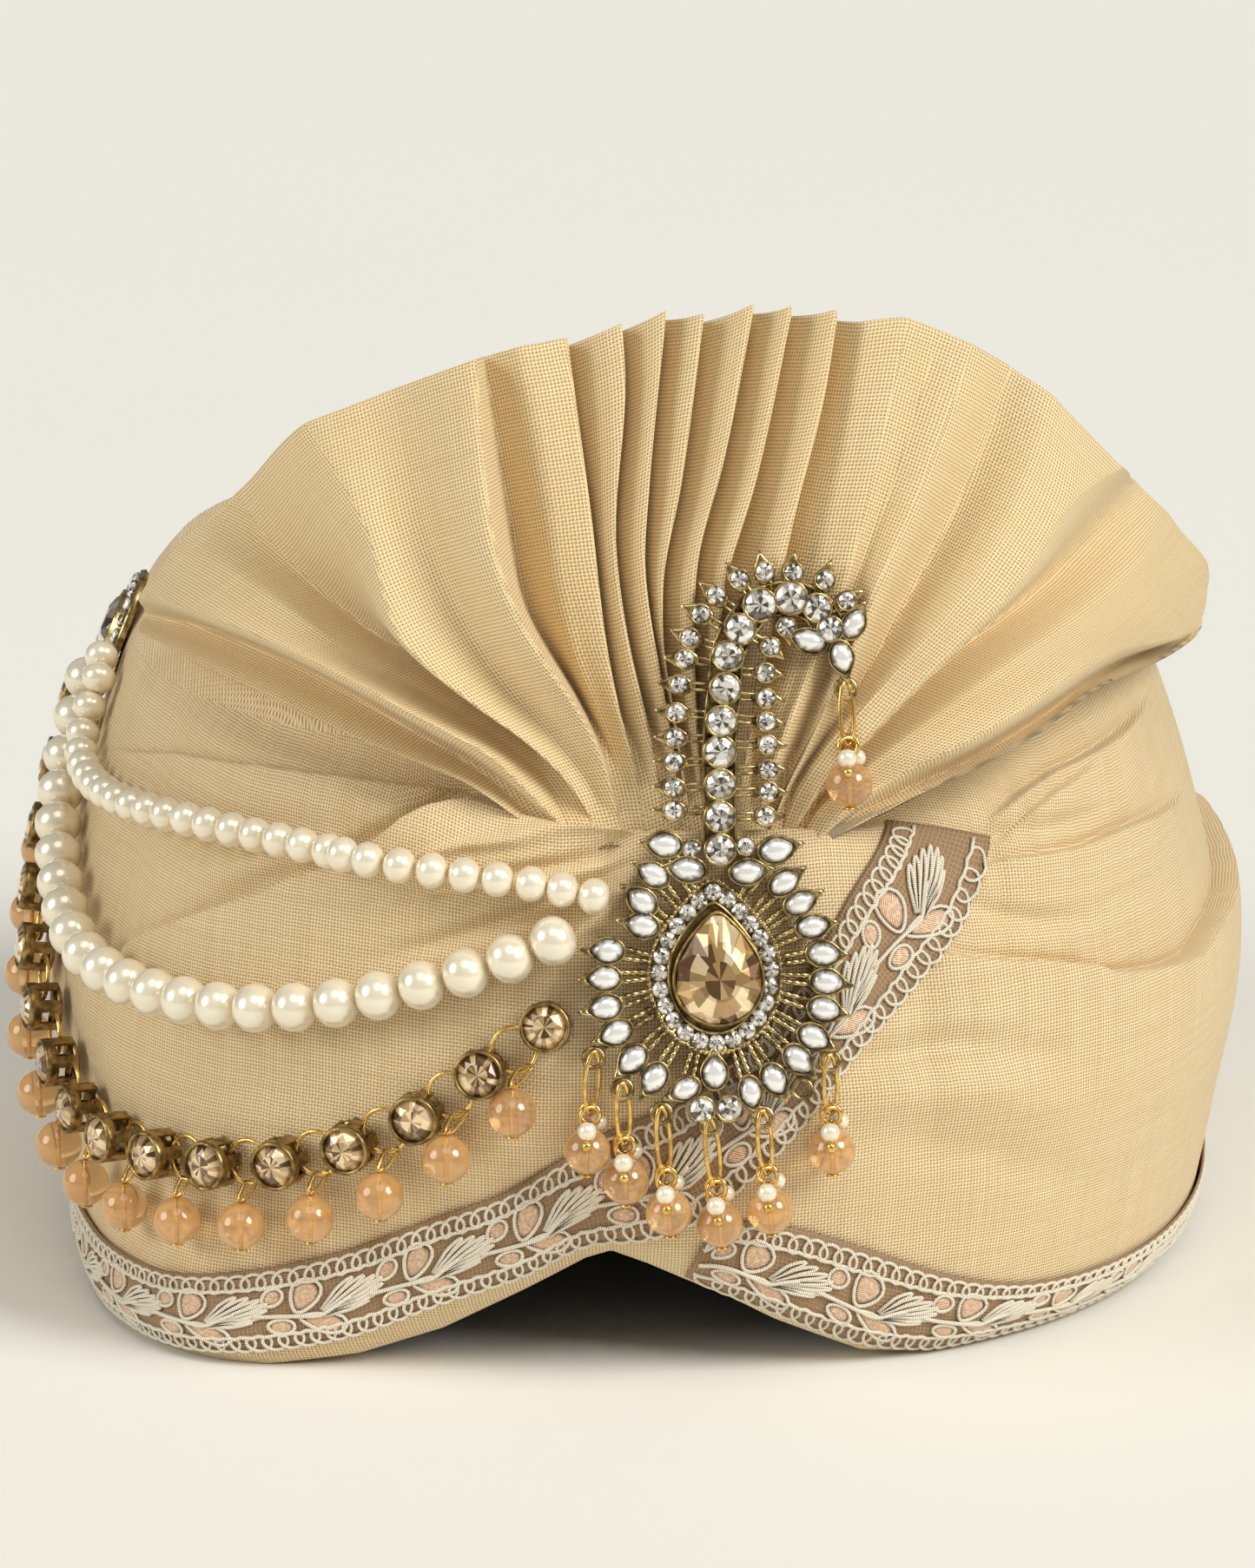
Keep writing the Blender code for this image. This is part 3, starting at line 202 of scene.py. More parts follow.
# Lines of the fan's folds from the left edge to the right one, followed in the picture from the rim down to
# the gathered foot: pixel across, pixel down, and how far the cloth stands out there in mm. The cloth under
# each pleat's edge runs UNDER_LEFT pixels to the left of it and UNDER_DOWN pixels below it, at the rim and
# at the foot, and UNDER_LIFT mm out
UNDER_LEFT = (9.0, 3.0)
UNDER_DOWN = (13.0, 0.0)
UNDER_LIFT = (-9.0, -6.0)
FAN_LINES = (
    ("edge_left",
     (160, 728, 4.4), (200, 750, 5.6), (300, 800, 6.9), (420, 856, 7.6), (540, 905, 6.4), (600, 945, 2.5),
     (640, 966, -1.1)),
    ("valley_0",
     (166, 708, 1.2), (210, 716, -0.1), (300, 748, -1.4), (500, 856, -1.4), (580, 905, -1.8),
     (652, 968, -2.9)),
    ("ridge_0",
     (161, 685, 7.2), (200, 697, 9.7), (300, 735, 11), (400, 782, 12.3), (500, 835, 12.3), (560, 868, 10.1),
     (610, 915, 4.6),
     (664, 970, -0.6)),
    ("panel_0",
     (205, 628, 4.9), (250, 650, 5.5), (420, 760, 4.2), (580, 855, 1.5), (640, 905, -1.3), (674, 970, -2.4)),
    ("valley_1",
     (272, 572, -0.8), (300, 612, -2), (345, 660, -3.3), (395, 703, -4.6), (445, 738, -4.6), (500, 757, -4.6),
     (556, 806, -3.3), (612, 848, -3.1), (656, 892, -3.4), (699, 970, -3.5)),
    ("ridge_1",
     (350, 492, 7.2), (385, 545, 8.4), (420, 610, 9.7), (462, 738, 13.6), (550, 815, 12.8), (605, 855, 8.9),
     (650, 898, 3.8), (696, 970, -1)),
    ("panel_1",
     (450, 455, 4.2), (495, 640, 5.5), (540, 730, 6.1), (590, 800, 5.6), (640, 855, 3.6), (680, 905, 0.7),
     (706, 970, -2)),
    ("ridge_2",
     (547, 420, 8.4), (553, 500, 10.4), (588, 690, 14.8), (632, 768, 14.1), (672, 828, 8.3), (692, 870, 4.5),
     (718, 970, -1)),
    ("valley_2",
     (556, 418, -0.8), (588, 620, -4.6), (600, 690, -5.2), (665, 805, -6), (699, 872, -4.5),
     (723, 970, -3.5)),
    ("panel_2",
     (600, 405, 2.9), (620, 500, 2.3), (648, 680, 1.7), (662, 750, 0.9), (703, 860, -0.8), (716, 910, -1),
     (729, 970, -2)),
    ("pleat_1",
     (655, 395, 0.2), (680, 580, 1.7), (706, 780, 2.3), (717, 830, 2.2), (731, 880, 0.7), (748, 970, -1.8)),
    ("pleat_2",
     (718, 378, 0.2), (721, 420, 0.7), (711, 640, 2.2), (725, 740, 2.3), (746, 830, 1.7), (758, 890, 0.7),
     (768, 970, -1.8)),
    ("pleat_3",
     (768, 363, 0.2), (749, 560, 1.7), (744, 640, 2.2), (768, 810, 2.2), (776, 860, 1.2), (785, 970, -1.8)),
    ("pleat_4",
     (811, 367, 0.2), (785, 560, 1.7), (765, 670, 2.3), (764, 720, 2.3), (780, 840, 1.7), (790, 900, 0.7),
     (799, 970, -1.8)),
    ("pleat_5",
     (868, 356, 0.2), (834, 530, 1.7), (804, 650, 2.3), (800, 720, 2.3), (802, 800, 2.2), (806, 880, 0.7),
     (814, 970, -1.8)),
    ("pleat_6",
     (912, 358, 0.2), (869, 560, 1.7), (837, 670, 2.3), (828, 740, 2.3), (826, 890, 0.7), (830, 970, -1.8)),
    ("pleat_7",
     (964, 362, 0.7), (952, 440, 1.2), (909, 620, 2.3), (884, 750, 2.3), (856, 890, 0.7), (846, 970, -1.8)),
    ("panel_3",
     (1000, 376, -1.1), (968, 560, -1.1), (928, 740, -0.6), (876, 890, -0.6), (858, 970, -2.1)),
    ("ridge_3",
     (1042, 371, 0.4), (1005, 550, 0.6), (960, 710, 1.4), (905, 840, 1.4), (885, 900, 0.4), (866, 970, -1.6)),
    ("valley_3",
     (1080, 385, -0.4), (1022, 570, -0.8), (985, 670, -1.6), (942, 810, -4.6), (906, 900, -5.1),
     (894, 940, -4.6), (878, 970, -4.1)),
    ("ridge_4",
     (1120, 402, 1.5), (1083, 505, 2.5), (1003, 692, 3.4), (938, 842, 2.4), (897, 925, 1.4), (882, 970, -1)),
    ("valley_4",
     (1162, 426, 0.3), (1124, 530, -2.4), (1037, 705, -4.2), (950, 855, -4.2), (924, 892, -4.2),
     (890, 970, -3.7)),
    ("panel_4",
     (1215, 462, 5.2), (1195, 540, 5.9), (1160, 610, 7.2), (1120, 670, 7.4), (1025, 780, 3.8),
     (980, 830, 3.3),
     (915, 920, 0.3), (896, 970, -1.7)),
    ("ridge_5",
     (1290, 538, 6.3), (1252, 561, 7.6), (1218, 598, 9.5), (1198, 634, 10.8), (1098, 746, 10.3),
     (998, 848, 4.8),
     (948, 903, 2.8), (904, 970, -0.7)),
    ("valley_5",
     (1308, 556, -0.4), (1220, 652, -4.9), (1100, 752, -5.1), (1000, 852, -5.2), (952, 906, -4.7),
     (910, 970, -3.7)),
    ("panel_5",
     (1350, 598, 3.3), (1320, 640, 4), (1160, 765, 5.2), (985, 895, 0.8), (940, 935, -0.7),
     (920, 970, -2.2)),
    ("ridge_6",
     (1391, 650, 6.9), (1388, 700, 7.6), (1280, 750, 9.5), (1100, 860, 8.1), (1040, 890, 3.5),
     (985, 925, 1.8),
     (936, 970, -1.2)),
    ("valley_6",
     (1385, 722, 1.5), (1290, 764, 0.9), (1180, 841, 0.9), (1120, 876, 0), (1050, 906, -1.1),
     (990, 935, -2.2), (944, 970, -3.2)),
    ("edge_right",
     (1370, 738, 4.7), (1250, 803, 6), (1200, 842, 6.7), (1150, 872, 6.7), (1000, 944, -0.2),
     (952, 970, -2.2)),
)

# Lace bands: upper and lower edge on the body, from one end to the other
# Columns: upper angle, upper t, lower angle, lower t
LACE_LEFT = (
    (-178.0, 0.088, -178.0, 0.008),
    (-150.0, 0.088, -150.0, 0.008),
    (-120.0, 0.088, -120.0, 0.008),
    (-95.0, 0.088, -95.0, 0.008),
    (-76.0, 0.086, -74.0, 0.008),
    (-60.0, 0.084, -58.0, 0.008),
    (-50.0, 0.084, -48.5, 0.008),
    (-42.0, 0.088, -40.5, 0.008),
    (-34.0, 0.110, -33.0, 0.020),
    (-26.5, 0.140, -26.0, 0.042),
    (-18.5, 0.183, -18.0, 0.085),
    (-12.0, 0.215, -10.5, 0.120),
    (-6.5, 0.253, -5.0, 0.155),
    (-2.5, 0.285, 0.8, 0.165),
    (2.0, 0.305, 6.0, 0.190),
    (6.5, 0.340, 11.5, 0.245),
    (11.5, 0.387, 16.0, 0.302),
    (16.0, 0.442, 20.8, 0.362),
    (20.0, 0.508, 26.5, 0.418),
    (23.5, 0.556, 31.5, 0.470),
    (25.5, 0.588, 36.0, 0.552),
)
LACE_RIGHT = (
    (6.0, 0.162, 4.5, 0.118),
    (9.0, 0.185, 8.0, 0.098),
    (15.0, 0.172, 14.0, 0.066),
    (21.5, 0.142, 20.5, 0.030),
    (28.5, 0.105, 28.0, 0.008),
    (35.5, 0.078, 35.0, 0.008),
    (42.0, 0.066, 41.5, 0.008),
    (52.0, 0.060, 51.5, 0.008),
    (64.0, 0.060, 63.0, 0.008),
    (78.0, 0.066, 77.0, 0.008),
    (95.0, 0.080, 95.0, 0.008),
    (120.0, 0.088, 120.0, 0.008),
    (150.0, 0.088, 150.0, 0.008),
    (180.0, 0.088, 180.0, 0.008),
)
LACE_WIDTH = 0.0176
NET_LIFT = 0.0006
NET_THICK = 0.0003
SATIN_HEIGHT = 0.00040
STITCH_SLANT = 55.0
CORD_LIFT = 0.0011
CORD_RADIUS = 0.00033
LOOP_PITCH = 0.0030
LOOP_RADIUS = 0.00148
LOOP_LINES = (-0.0071, 0.0062)
DRAWING_MIDDLE = -0.0005
LINE_INSIDE = 0.0016
MOTIF_PITCH = 0.0220
MOTIF_FIRST = 0.0135
MOTIF_END = 0.011

# Lace drawing, in mm from the leaf's foot: x along the band, y across it from the band's middle
LEAF_FOOT = (0.0, -2.2)
# Columns: length, aside
LEAF = ((6.6, 4.6), (9.2, 3.6), (11.6, 2.2), (12.8, 0.7), (12.4, -0.7), (10.6, -1.7), (7.6, -2.2))
LEAF_TURN = math.radians(15.0)
LEAF_RIBS = 7
# Columns: x, y, half length, half width, direction, point
LOBES = (
    (-2.7, 2.3, 3.5, 2.7, 62.0, 0.35),
    (0.4, -3.7, 4.6, 1.8, -24.0, 0.45),
    (-8.7, 2.9, 2.1, 1.7, 35.0, 0.10),
    (-7.4, -3.3, 2.5, 1.5, -12.0, 0.15),
)
# Columns: x, y
STALK = ((-12.6, -0.6), (-9.6, -0.9), (-6.6, -1.2), (-3.4, -1.7), (0.0, -2.2), (3.0, -1.0), (6.0, 0.2))

# Strings and the chain: where they lie on the body, from the front brooch to the side brooch
# Columns: angle, t
STRING_UPPER = (
    (-4.0, 0.513), (-10.5, 0.525), (-22.5, 0.535), (-33.0, 0.545), (-44.5, 0.545), (-57.0, 0.535),
    (-66.0, 0.535), (-72.5, 0.550), (-75.5, 0.585), (-75.5, 0.622),
    (-78.5, 0.648),
)
STRING_LOWER = (
    (-7.5, 0.468), (-14.5, 0.435), (-25.5, 0.395), (-36.0, 0.372), (-47.0, 0.366), (-56.0, 0.376),
    (-64.0, 0.410), (-71.5, 0.460), (-77.5, 0.520), (-80.5, 0.580),
    (-82.0, 0.602),
)
CHAIN = (
    (-8.0, 0.385), (-13.5, 0.340), (-19.5, 0.292), (-26.0, 0.256), (-34.0, 0.226), (-45.0, 0.212),
    (-54.0, 0.220), (-62.0, 0.262), (-69.0, 0.320), (-76.0, 0.385), (-82.0, 0.450), (-86.0, 0.520),
    (-88.0, 0.562),
)
PEARL_LARGE = 0.0088
PEARL_SMALL = 0.0064
PEARL_FLAT = 0.93
CUP_RADIUS = 0.0045
CUP_PITCH = 0.0137
CUP_GAP = 0.0016
CUP_LIFT = 0.0040
BEAD_RADIUS = 0.0043

# Front brooch, in mm on its own plane: x to the right, y up, from the middle of the halo
BROOCH_AT = (0.1188 * HALF_WIDTH, 0.00215 - HALF_DEPTH, 0.5420 * CROWN_HEIGHT)
BROOCH_LEAN = math.radians(13.6)
BROOCH_TURN = math.radians(6.0)
HALO_WIDTH = 9.8
HALO_BELOW = 12.1
HALO_ABOVE = 14.2
HALO_WIDEST = -0.9
HALO_STONES = 24
CENTRE_WIDTH = 7.7
CENTRE_BELOW = 7.8
CENTRE_ABOVE = 11.6
CENTRE_PLACE = (0.5, -2.0)
# Columns: x, y, direction, length, width
PETALS = (
    (-8.3, 21.7, 172.0, 6.7, 4.9), (-10.4, 16.6, 148.0, 6.5, 4.6), (-12.5, 12.0, 140.0, 6.5, 4.9),
    (-12.5, 7.8, 166.0, 6.5, 4.9), (-18.7, 3.6, 176.0, 6.5, 4.9), (-19.4, -1.2, 182.0, 6.5, 4.9),
    (-19.3, -6.2, 190.0, 6.5, 4.9), (-17.5, -10.7, 202.0, 6.5, 4.9), (-14.8, -15.4, 226.0, 6.5, 4.9),
    (-11.1, -18.8, 238.0, 6.5, 4.9), (-5.7, -20.8, 205.0, 5.9, 4.4), (-0.5, -18.1, 90.0, 6.5, 5.1),
    (5.7, -21.7, 278.0, 6.3, 4.4), (9.9, -19.6, 298.0, 6.5, 4.9), (14.2, -16.3, 312.0, 6.7, 4.9),
    (17.0, -12.5, 328.0, 6.5, 4.9), (19.0, -7.7, 344.0, 6.5, 4.9), (19.6, -2.9, 350.0, 6.5, 4.9),
    (19.1, 2.0, 354.0, 6.5, 4.9), (17.3, 6.8, 8.0, 6.5, 4.6), (15.2, 11.0, 26.0, 6.5, 4.6),
    (12.5, 14.6, 34.0, 6.5, 4.6), (11.3, 20.3, 12.0, 7.0, 5.1),
    (-4.4, 17.3, 172.0, 7.0, 4.9), (6.2, 16.6, 4.0, 7.0, 4.9),
    (17.9, 56.5, 160.0, 6.9, 4.6), (25.8, 59.3, 62.0, 6.3, 4.4), (23.5, 53.5, 282.0, 6.5, 4.6),
)
# Columns: x, y, across
STEM = (
    (1.4, 20.6, 5.2), (1.5, 26.3, 5.2), (1.7, 31.9, 5.2), (1.8, 37.6, 5.4),
    (2.2, 42.9, 5.2), (3.0, 48.6, 5.2), (3.6, 54.2, 5.2), (5.8, 58.8, 5.2),
    (9.4, 62.9, 5.6), (14.8, 64.0, 5.6), (19.4, 62.2, 4.8), (21.6, 58.4, 4.4),
)
OUTER_STONES = (
    (-6.6, 27.6, 3.3), (-6.5, 31.6, 3.3), (-6.3, 36.1, 3.3), (-6.0, 40.2, 3.3), (-5.7, 44.6, 3.3),
    (-5.1, 49.4, 3.3), (-3.9, 53.8, 3.3), (-3.0, 57.5, 3.3), (-1.0, 61.6, 3.3), (1.8, 64.8, 3.3),
    (5.9, 67.5, 3.3), (10.4, 68.7, 3.3), (15.4, 68.5, 3.3), (20.9, 67.0, 3.3), (24.7, 63.3, 3.3),
)
INNER_STONES = (
    (9.6, 26.2, 3.3), (10.2, 30.4, 3.3), (10.2, 34.3, 3.3), (10.2, 38.6, 3.3), (10.1, 42.6, 3.3),
    (10.1, 46.7, 3.3), (10.1, 51.1, 3.3), (11.1, 55.6, 3.3), (13.9, 59.0, 3.3),
)
LOOSE_STONES = ((-3.5, 20.9, 3.2), (5.9, 21.1, 3.2), (-2.9, -24.5, 4.4), (2.0, -24.5, 4.4))
# Columns: name, x, y, bead x, bead y, forward
DROPS = (
    ("drop_1", -21.5, -15.0, -22.6, -31.6, 0.05),
    ("drop_2", -16.6, -20.6, -16.0, -37.2, 0.0),
    ("drop_3", -9.9, -25.0, -8.6, -43.0, 0.0),
    ("drop_4", -1.5, -27.2, 0.3, -45.3, 0.0),
    ("drop_5", 7.8, -26.2, 9.2, -43.2, 0.0),
    ("drop_6", 19.8, -16.8, 20.3, -33.0, 0.0),
    ("hook_drop", 24.2, 48.0, 24.8, 31.4, 0.29),
)
SPARE_EYELET = (14.8, -21.5)
STONES_JOIN = (0.0, -16.2)
DROP_BEAD = 0.0041
SIDE_BROOCH = (-85.0, 0.672)
SIDE_BROOCH_WIDTH = 0.0095
SIDE_BROOCH_HEIGHT = 0.0120


def unit(v):
    return v / np.maximum(np.linalg.norm(v, axis=-1, keepdims=True), 1e-12)


def turns(count, start=0.0):
    """Even angles once round, in radians."""
    return np.arange(count) * 2 * np.pi / count + start


def curve_through(x, y, at):
    """Smooth curve through the rows: a cubic between each two that keeps the slope between their
    neighbours."""
    slope = np.gradient(y, x)
    at = np.asarray(at, float)
    i = np.clip(np.searchsorted(x, at, side="right") - 1, 0, len(x) - 2)
    h = x[i + 1] - x[i]
    s = (at - x[i]) / h
    first = (2 * s**3 - 3 * s**2 + 1) * y[i] + (s**3 - 2 * s**2 + s) * h * slope[i]
    return first + (3 * s**2 - 2 * s**3) * y[i + 1] + (s**3 - s**2) * h * slope[i + 1]


def smooth_run(rows, count):
    """A table's columns at even steps along its rows, on the smooth curve through them."""
    rows = np.array(rows, float)
    at = np.linspace(0, len(rows) - 1, count)
    return [curve_through(np.arange(len(rows), dtype=float), values, at) for values in rows.T]


def length_along(points):
    """The length of a line from its first point to each one."""
    return np.concatenate([[0], np.cumsum(np.linalg.norm(np.diff(points, axis=0), axis=-1))])


def ease(x):
    """Three times the square less twice the cube, from 0 to 1."""
    x = np.clip(x, 0.0, 1.0)
    return x * x * (3 - 2 * x)


# Body's surface
def wrapped(angle):
    return (np.asarray(angle, float) + 180.0) % 360.0 - 180.0


def profile(t):
    """Reach and height of the body's outline."""
    x, reach, height = np.transpose(PROFILE)
    return curve_through(x, reach, t), curve_through(x, height, t)


def rim_t(angle):
    angles, cut = np.transpose(NOTCH)
    return np.interp(wrapped(angle), angles, cut)


def superellipse(angle):
    """Sine, cosine and the radius of the oval with rounded corners: the powers of sine and cosine summed,
    to minus one over the power."""
    s = np.sin(np.radians(angle))
    c = np.cos(np.radians(angle))
    return s, c, (np.abs(s) ** SQUARENESS + np.abs(c) ** SQUARENESS) ** (-1 / SQUARENESS)


def smooth_body(angle, t):
    """The oval at the profile's reach and height, with the rim's corner standing out at the front left."""
    angle = np.asarray(angle, float)
    reach, height = profile(np.asarray(t, float))
    s, c, r = superellipse(angle)
    side = wrapped(angle) - CORNER_ANGLE
    near = np.exp(-((side / np.where(side < 0, 1.5 * CORNER_SPREAD, CORNER_SPREAD)) ** 2))
    r = r * (1 + CORNER_SHARE * near * np.clip(1 - t / CORNER_TOP, 0, 1) ** 2)
    return np.stack([HALF_WIDTH * reach * r * s, -HALF_DEPTH * reach * r * c, CROWN_HEIGHT * height], -1)


def outward(angle, t):
    """Unit normal of the smooth body, from the cross product of its steps along the angle and along t."""
    t = np.clip(t, 0.004, 0.99)
    along = smooth_body(angle + 0.2, t) - smooth_body(angle - 0.2, t)
    up = smooth_body(angle, t + 0.002) - smooth_body(angle, t - 0.002)
    return unit(np.cross(along, up))


def seen(points):
    """The picture's pixels at which points are seen: the focal length times the way across over the way
    along."""
    back = np.array((0.0, -math.cos(CAMERA_TILT), math.sin(CAMERA_TILT)))
    up = np.array((0.0, math.sin(CAMERA_TILT), math.cos(CAMERA_TILT)))
    way = points - SHIFT - (CAMERA_TARGET + back * CAMERA_FAR)
    share = PIXELS_FAR / -(way @ back)
    return np.stack([PICTURE[0] / 2 + share * way[..., 0], PICTURE[1] / 2 - share * (way @ up)], -1)


def place_seen(pixels, surface, low, high):
    """The two values of a surface at which it is seen at each pixel: the nearest of a grid of places
    between the lowest and the highest values, then the nearest of ever finer grids round it."""
    low, high = np.array(low), np.array(high)
    middle = np.broadcast_to((low + high) / 2, (len(pixels), 2))
    reach = (high - low) / 2
    share = np.linspace(-1, 1, 41)
    for _ in range(14):
        tried = np.stack(np.meshgrid(share, share), -1).reshape(-1, 2)
        tried = np.clip(middle[:, None] + tried * reach, low, high)
        miss = np.linalg.norm(seen(surface(tried)) - pixels[:, None], axis=-1)
        middle = tried[np.arange(len(pixels)), miss.argmin(1)]
        reach = reach * (0.1 if len(share) > 9 else 0.45)
        share = np.linspace(-1, 1, 7)
    return middle


def body_places(line):
    """A line of pixels and millimetres as places on the body: angle, t and millimetres."""
    line = np.array(line, float)

    def cloth(at):
        return smooth_body(at[..., 0], at[..., 1]) + outward(at[..., 0], at[..., 1]) * SEEN_LIFT

    places = np.column_stack([place_seen(line[:, :2], cloth, (-75.0, 0.0), (72.0, 0.9)), line[:, 2]])
    return places[np.argsort(places[:, 0])]


def body_folds():
    """Each fold's rise, fade and places, where what is seen of it and what lies behind are joined."""
    made = {name: [rise, fade, body_places(line)] for name, rise, fade, *line in FOLDS_SEEN}
    for name, rise, fade, *places in FOLDS_BEHIND:
        front = made[name][2] if name in made else np.zeros((0, 3))
        made[name] = [rise, fade, np.concatenate([front, np.array(places)])]
    return list(made.values())


SEEN_LIFT = 0.002
FOLDS = body_folds()
CREASES = [(width, body_places(line)) for _, width, *line in CREASES_SEEN]


def fold_line(places, angle):
    """A fold's t and step at each angle, straight between its places; the step is none beyond its ends."""
    at, line, step = places.T
    a = wrapped(angle)
    a = np.where((a < 0) & (at[-1] > 180.0), a + 360.0, a)
    inside = (a >= at[0]) & (a <= at[-1])
    held = np.clip(a, at[0], at[-1])
    return np.interp(held, at, line), np.interp(held, at, step) * inside * MM


def fold_out(angle, t):
    """How far the folds push the cloth out: below each fold's line it steps up and dies away downwards, and
    just above the line it dips. A crease adds its height times a bell of the distance from its line."""
    out = np.zeros(np.broadcast(angle, t).shape)
    for rise, fade, places in FOLDS:
        line, step = fold_line(places, angle)
        below = (line - t) * WALL_LENGTH
        out = out + step * ease(below / rise) * np.exp(-np.maximum(below, 0.0) / fade)
        out = out - DIP_SHARE * step * np.exp(-(((below + DIP_ABOVE) / DIP_WIDTH) ** 2))
    for width, places in CREASES:
        line, height = fold_line(places, angle)
        out = out + height * np.exp(-((((line - t) * WALL_LENGTH) / width) ** 2))
    return out


def fold_lean(angle, t):
    """How far up the cloth leans over at the crest of each fold, as a change of t."""
    lean = np.zeros(np.broadcast(angle, t).shape)
    for rise, _, places in FOLDS:
        line, step = fold_line(places, angle)
        below = (line - t) * WALL_LENGTH
        lean = lean + LEAN_SHARE * step * np.exp(-(((below - 1.25 * rise) / (0.9 * rise + 0.0006)) ** 2))
    return lean / WALL_LENGTH


def on_body(angle, t, lift=0.0):
    """A place on the folded cloth, or a lift outside it."""
    angle = np.asarray(angle, float)
    t = np.asarray(t, float)
    far = fold_out(angle, t) + lift
    return smooth_body(angle, t) + outward(angle, t) * np.asarray(far)[..., None]


def cloth_point(angle, t, lift=0.0):
    """The cloth's face: the smooth body with its folds, turned in by a square law just above the rim."""
    points = on_body(angle, t, lift)
    above = (points[..., 2] - smooth_body(angle, rim_t(angle))[..., 2]) / CURL_HEIGHT
    curl = RIM_CURL * np.clip(1 - above, 0, 1) ** 2
    points[..., :2] = points[..., :2] - unit(points[..., :2]) * curl[..., None]
    points[..., 2] = np.maximum(points[..., 2], 0.0003)
    return points


def clear_of_body(points, gap):
    """Points moved out along the level until they are at least a gap outside the smooth body."""
    t = np.linspace(0, 1, 400)
    reach, height = profile(t)
    r = np.interp(np.interp(points[..., 2], CROWN_HEIGHT * height, t), t, reach)
    level = np.abs(points[..., :2] / (HALF_WIDTH, HALF_DEPTH)) ** SQUARENESS
    size = level.sum(-1) ** (1 / SQUARENESS)
    scale = np.maximum(1.0, (r + gap / HALF_WIDTH) / size)
    scale = np.where(points[..., 2] < CROWN_HEIGHT * 0.985, scale, 1.0)
    moved = points.copy()
    moved[..., :2] = moved[..., :2] * scale[..., None]
    return moved


def along_body(rows, lift, pitch):
    """Angle and t at even steps of about one pitch along the line of a table, over the body."""
    angle, t = smooth_run(rows, 400)
    length = length_along(on_body(angle, t, lift))
    even = np.linspace(0, length[-1], int(round(length[-1] / pitch)) + 1)
    return np.interp(even, length, angle), np.interp(even, length, t)


# Meshes from whole arrays
def grid(rows, columns, wrap_rows=False, wrap_columns=False, copies=1):
    """Quads of grids laid one after another, with each corner's row and column as they run, for the UV
    map."""
    r = np.arange(rows - (not wrap_rows))
    c = np.arange(columns - (not wrap_columns))
    r, c = np.meshgrid(r, c, indexing="ij")
    r = r.reshape(-1, 1) + np.array([0, 0, 1, 1])
    c = c.reshape(-1, 1) + np.array([0, 1, 1, 0])
    faces = (r % rows) * columns + c % columns
    faces = (faces[None] + np.arange(copies)[:, None, None] * rows * columns).reshape(-1, 4)
    return faces, np.tile(r, (copies, 1)), np.tile(c, (copies, 1))


def volume(points, faces):
    """Six times the volume inside the faces: the triple products of each face's fan of triangles, summed."""
    total = 0.0
    for f in faces:
        for k in range(1, f.shape[1] - 1):
            total += np.einsum("ij,ij->", points[f[:, 0]], np.cross(points[f[:, k]], points[f[:, k + 1]]))
    return total


def shape(points, faces, uvs=None, look=0, smooth=True, closed=True):
    """One group of faces of a piece: points, a list of face arrays, their corners' UVs, material and
    smoothing."""
    points = np.asarray(points, float).reshape(-1, 3)
    faces = [np.asarray(f, np.int64) for f in faces if len(f)]
    if closed and volume(points - points.mean(0), faces) < 0:
        faces = [f[:, ::-1] for f in faces]
        uvs = [uv[:, ::-1] for uv in uvs] if uvs else None
    return {"points": points, "faces": faces, "uvs": uvs, "look": look, "smooth": smooth}


def make_piece(name, shapes, materials, replaces=()):
    """A mesh object from groups of faces, moved into the shared frame, that rides on the turban."""
    points = np.concatenate([s["points"] for s in shapes]) - SHIFT
    start = np.cumsum([0] + [len(s["points"]) for s in shapes])
    faces = [f + at for s, at in zip(shapes, start) for f in s["faces"]]
    look = [np.full(len(f), s["look"]) for s in shapes for f in s["faces"]]
    smooth = [np.full(len(f), s["smooth"]) for s in shapes for f in s["faces"]]
    corners = np.concatenate([f.ravel() for f in faces])
    sizes = np.concatenate([np.full(len(f), f.shape[1]) for f in faces])
    mesh = bpy.data.meshes.new(name)
    mesh.vertices.add(len(points))
    mesh.vertices.foreach_set("co", points.astype(np.float32).ravel())
    mesh.loops.add(len(corners))
    mesh.loops.foreach_set("vertex_index", corners.astype(np.int32))
    mesh.polygons.add(len(sizes))
    mesh.polygons.foreach_set("loop_start", (np.cumsum(sizes) - sizes).astype(np.int32))
    mesh.polygons.foreach_set("material_index", np.concatenate(look).astype(np.int32))
    mesh.polygons.foreach_set("use_smooth", np.concatenate(smooth))
    mesh.update(calc_edges=True)
    if any(s["uvs"] for s in shapes):
        layer = mesh.uv_layers.new(name="UVMap")
        parts = []
        for s in shapes:
            for k, f in enumerate(s["faces"]):
                parts.append(s["uvs"][k].reshape(-1, 2) if s["uvs"] else np.zeros((f.size, 2)))
        layer.uv.foreach_set("vector", np.concatenate(parts).astype(np.float32).ravel())
    mesh.validate()
    for material in materials:
        mesh.materials.append(material)
    made = bpy.data.objects.new(name, mesh)
    bpy.context.scene.collection.objects.link(made)
    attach(made, "root")
    if replaces:
        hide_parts(*replaces)
    return made


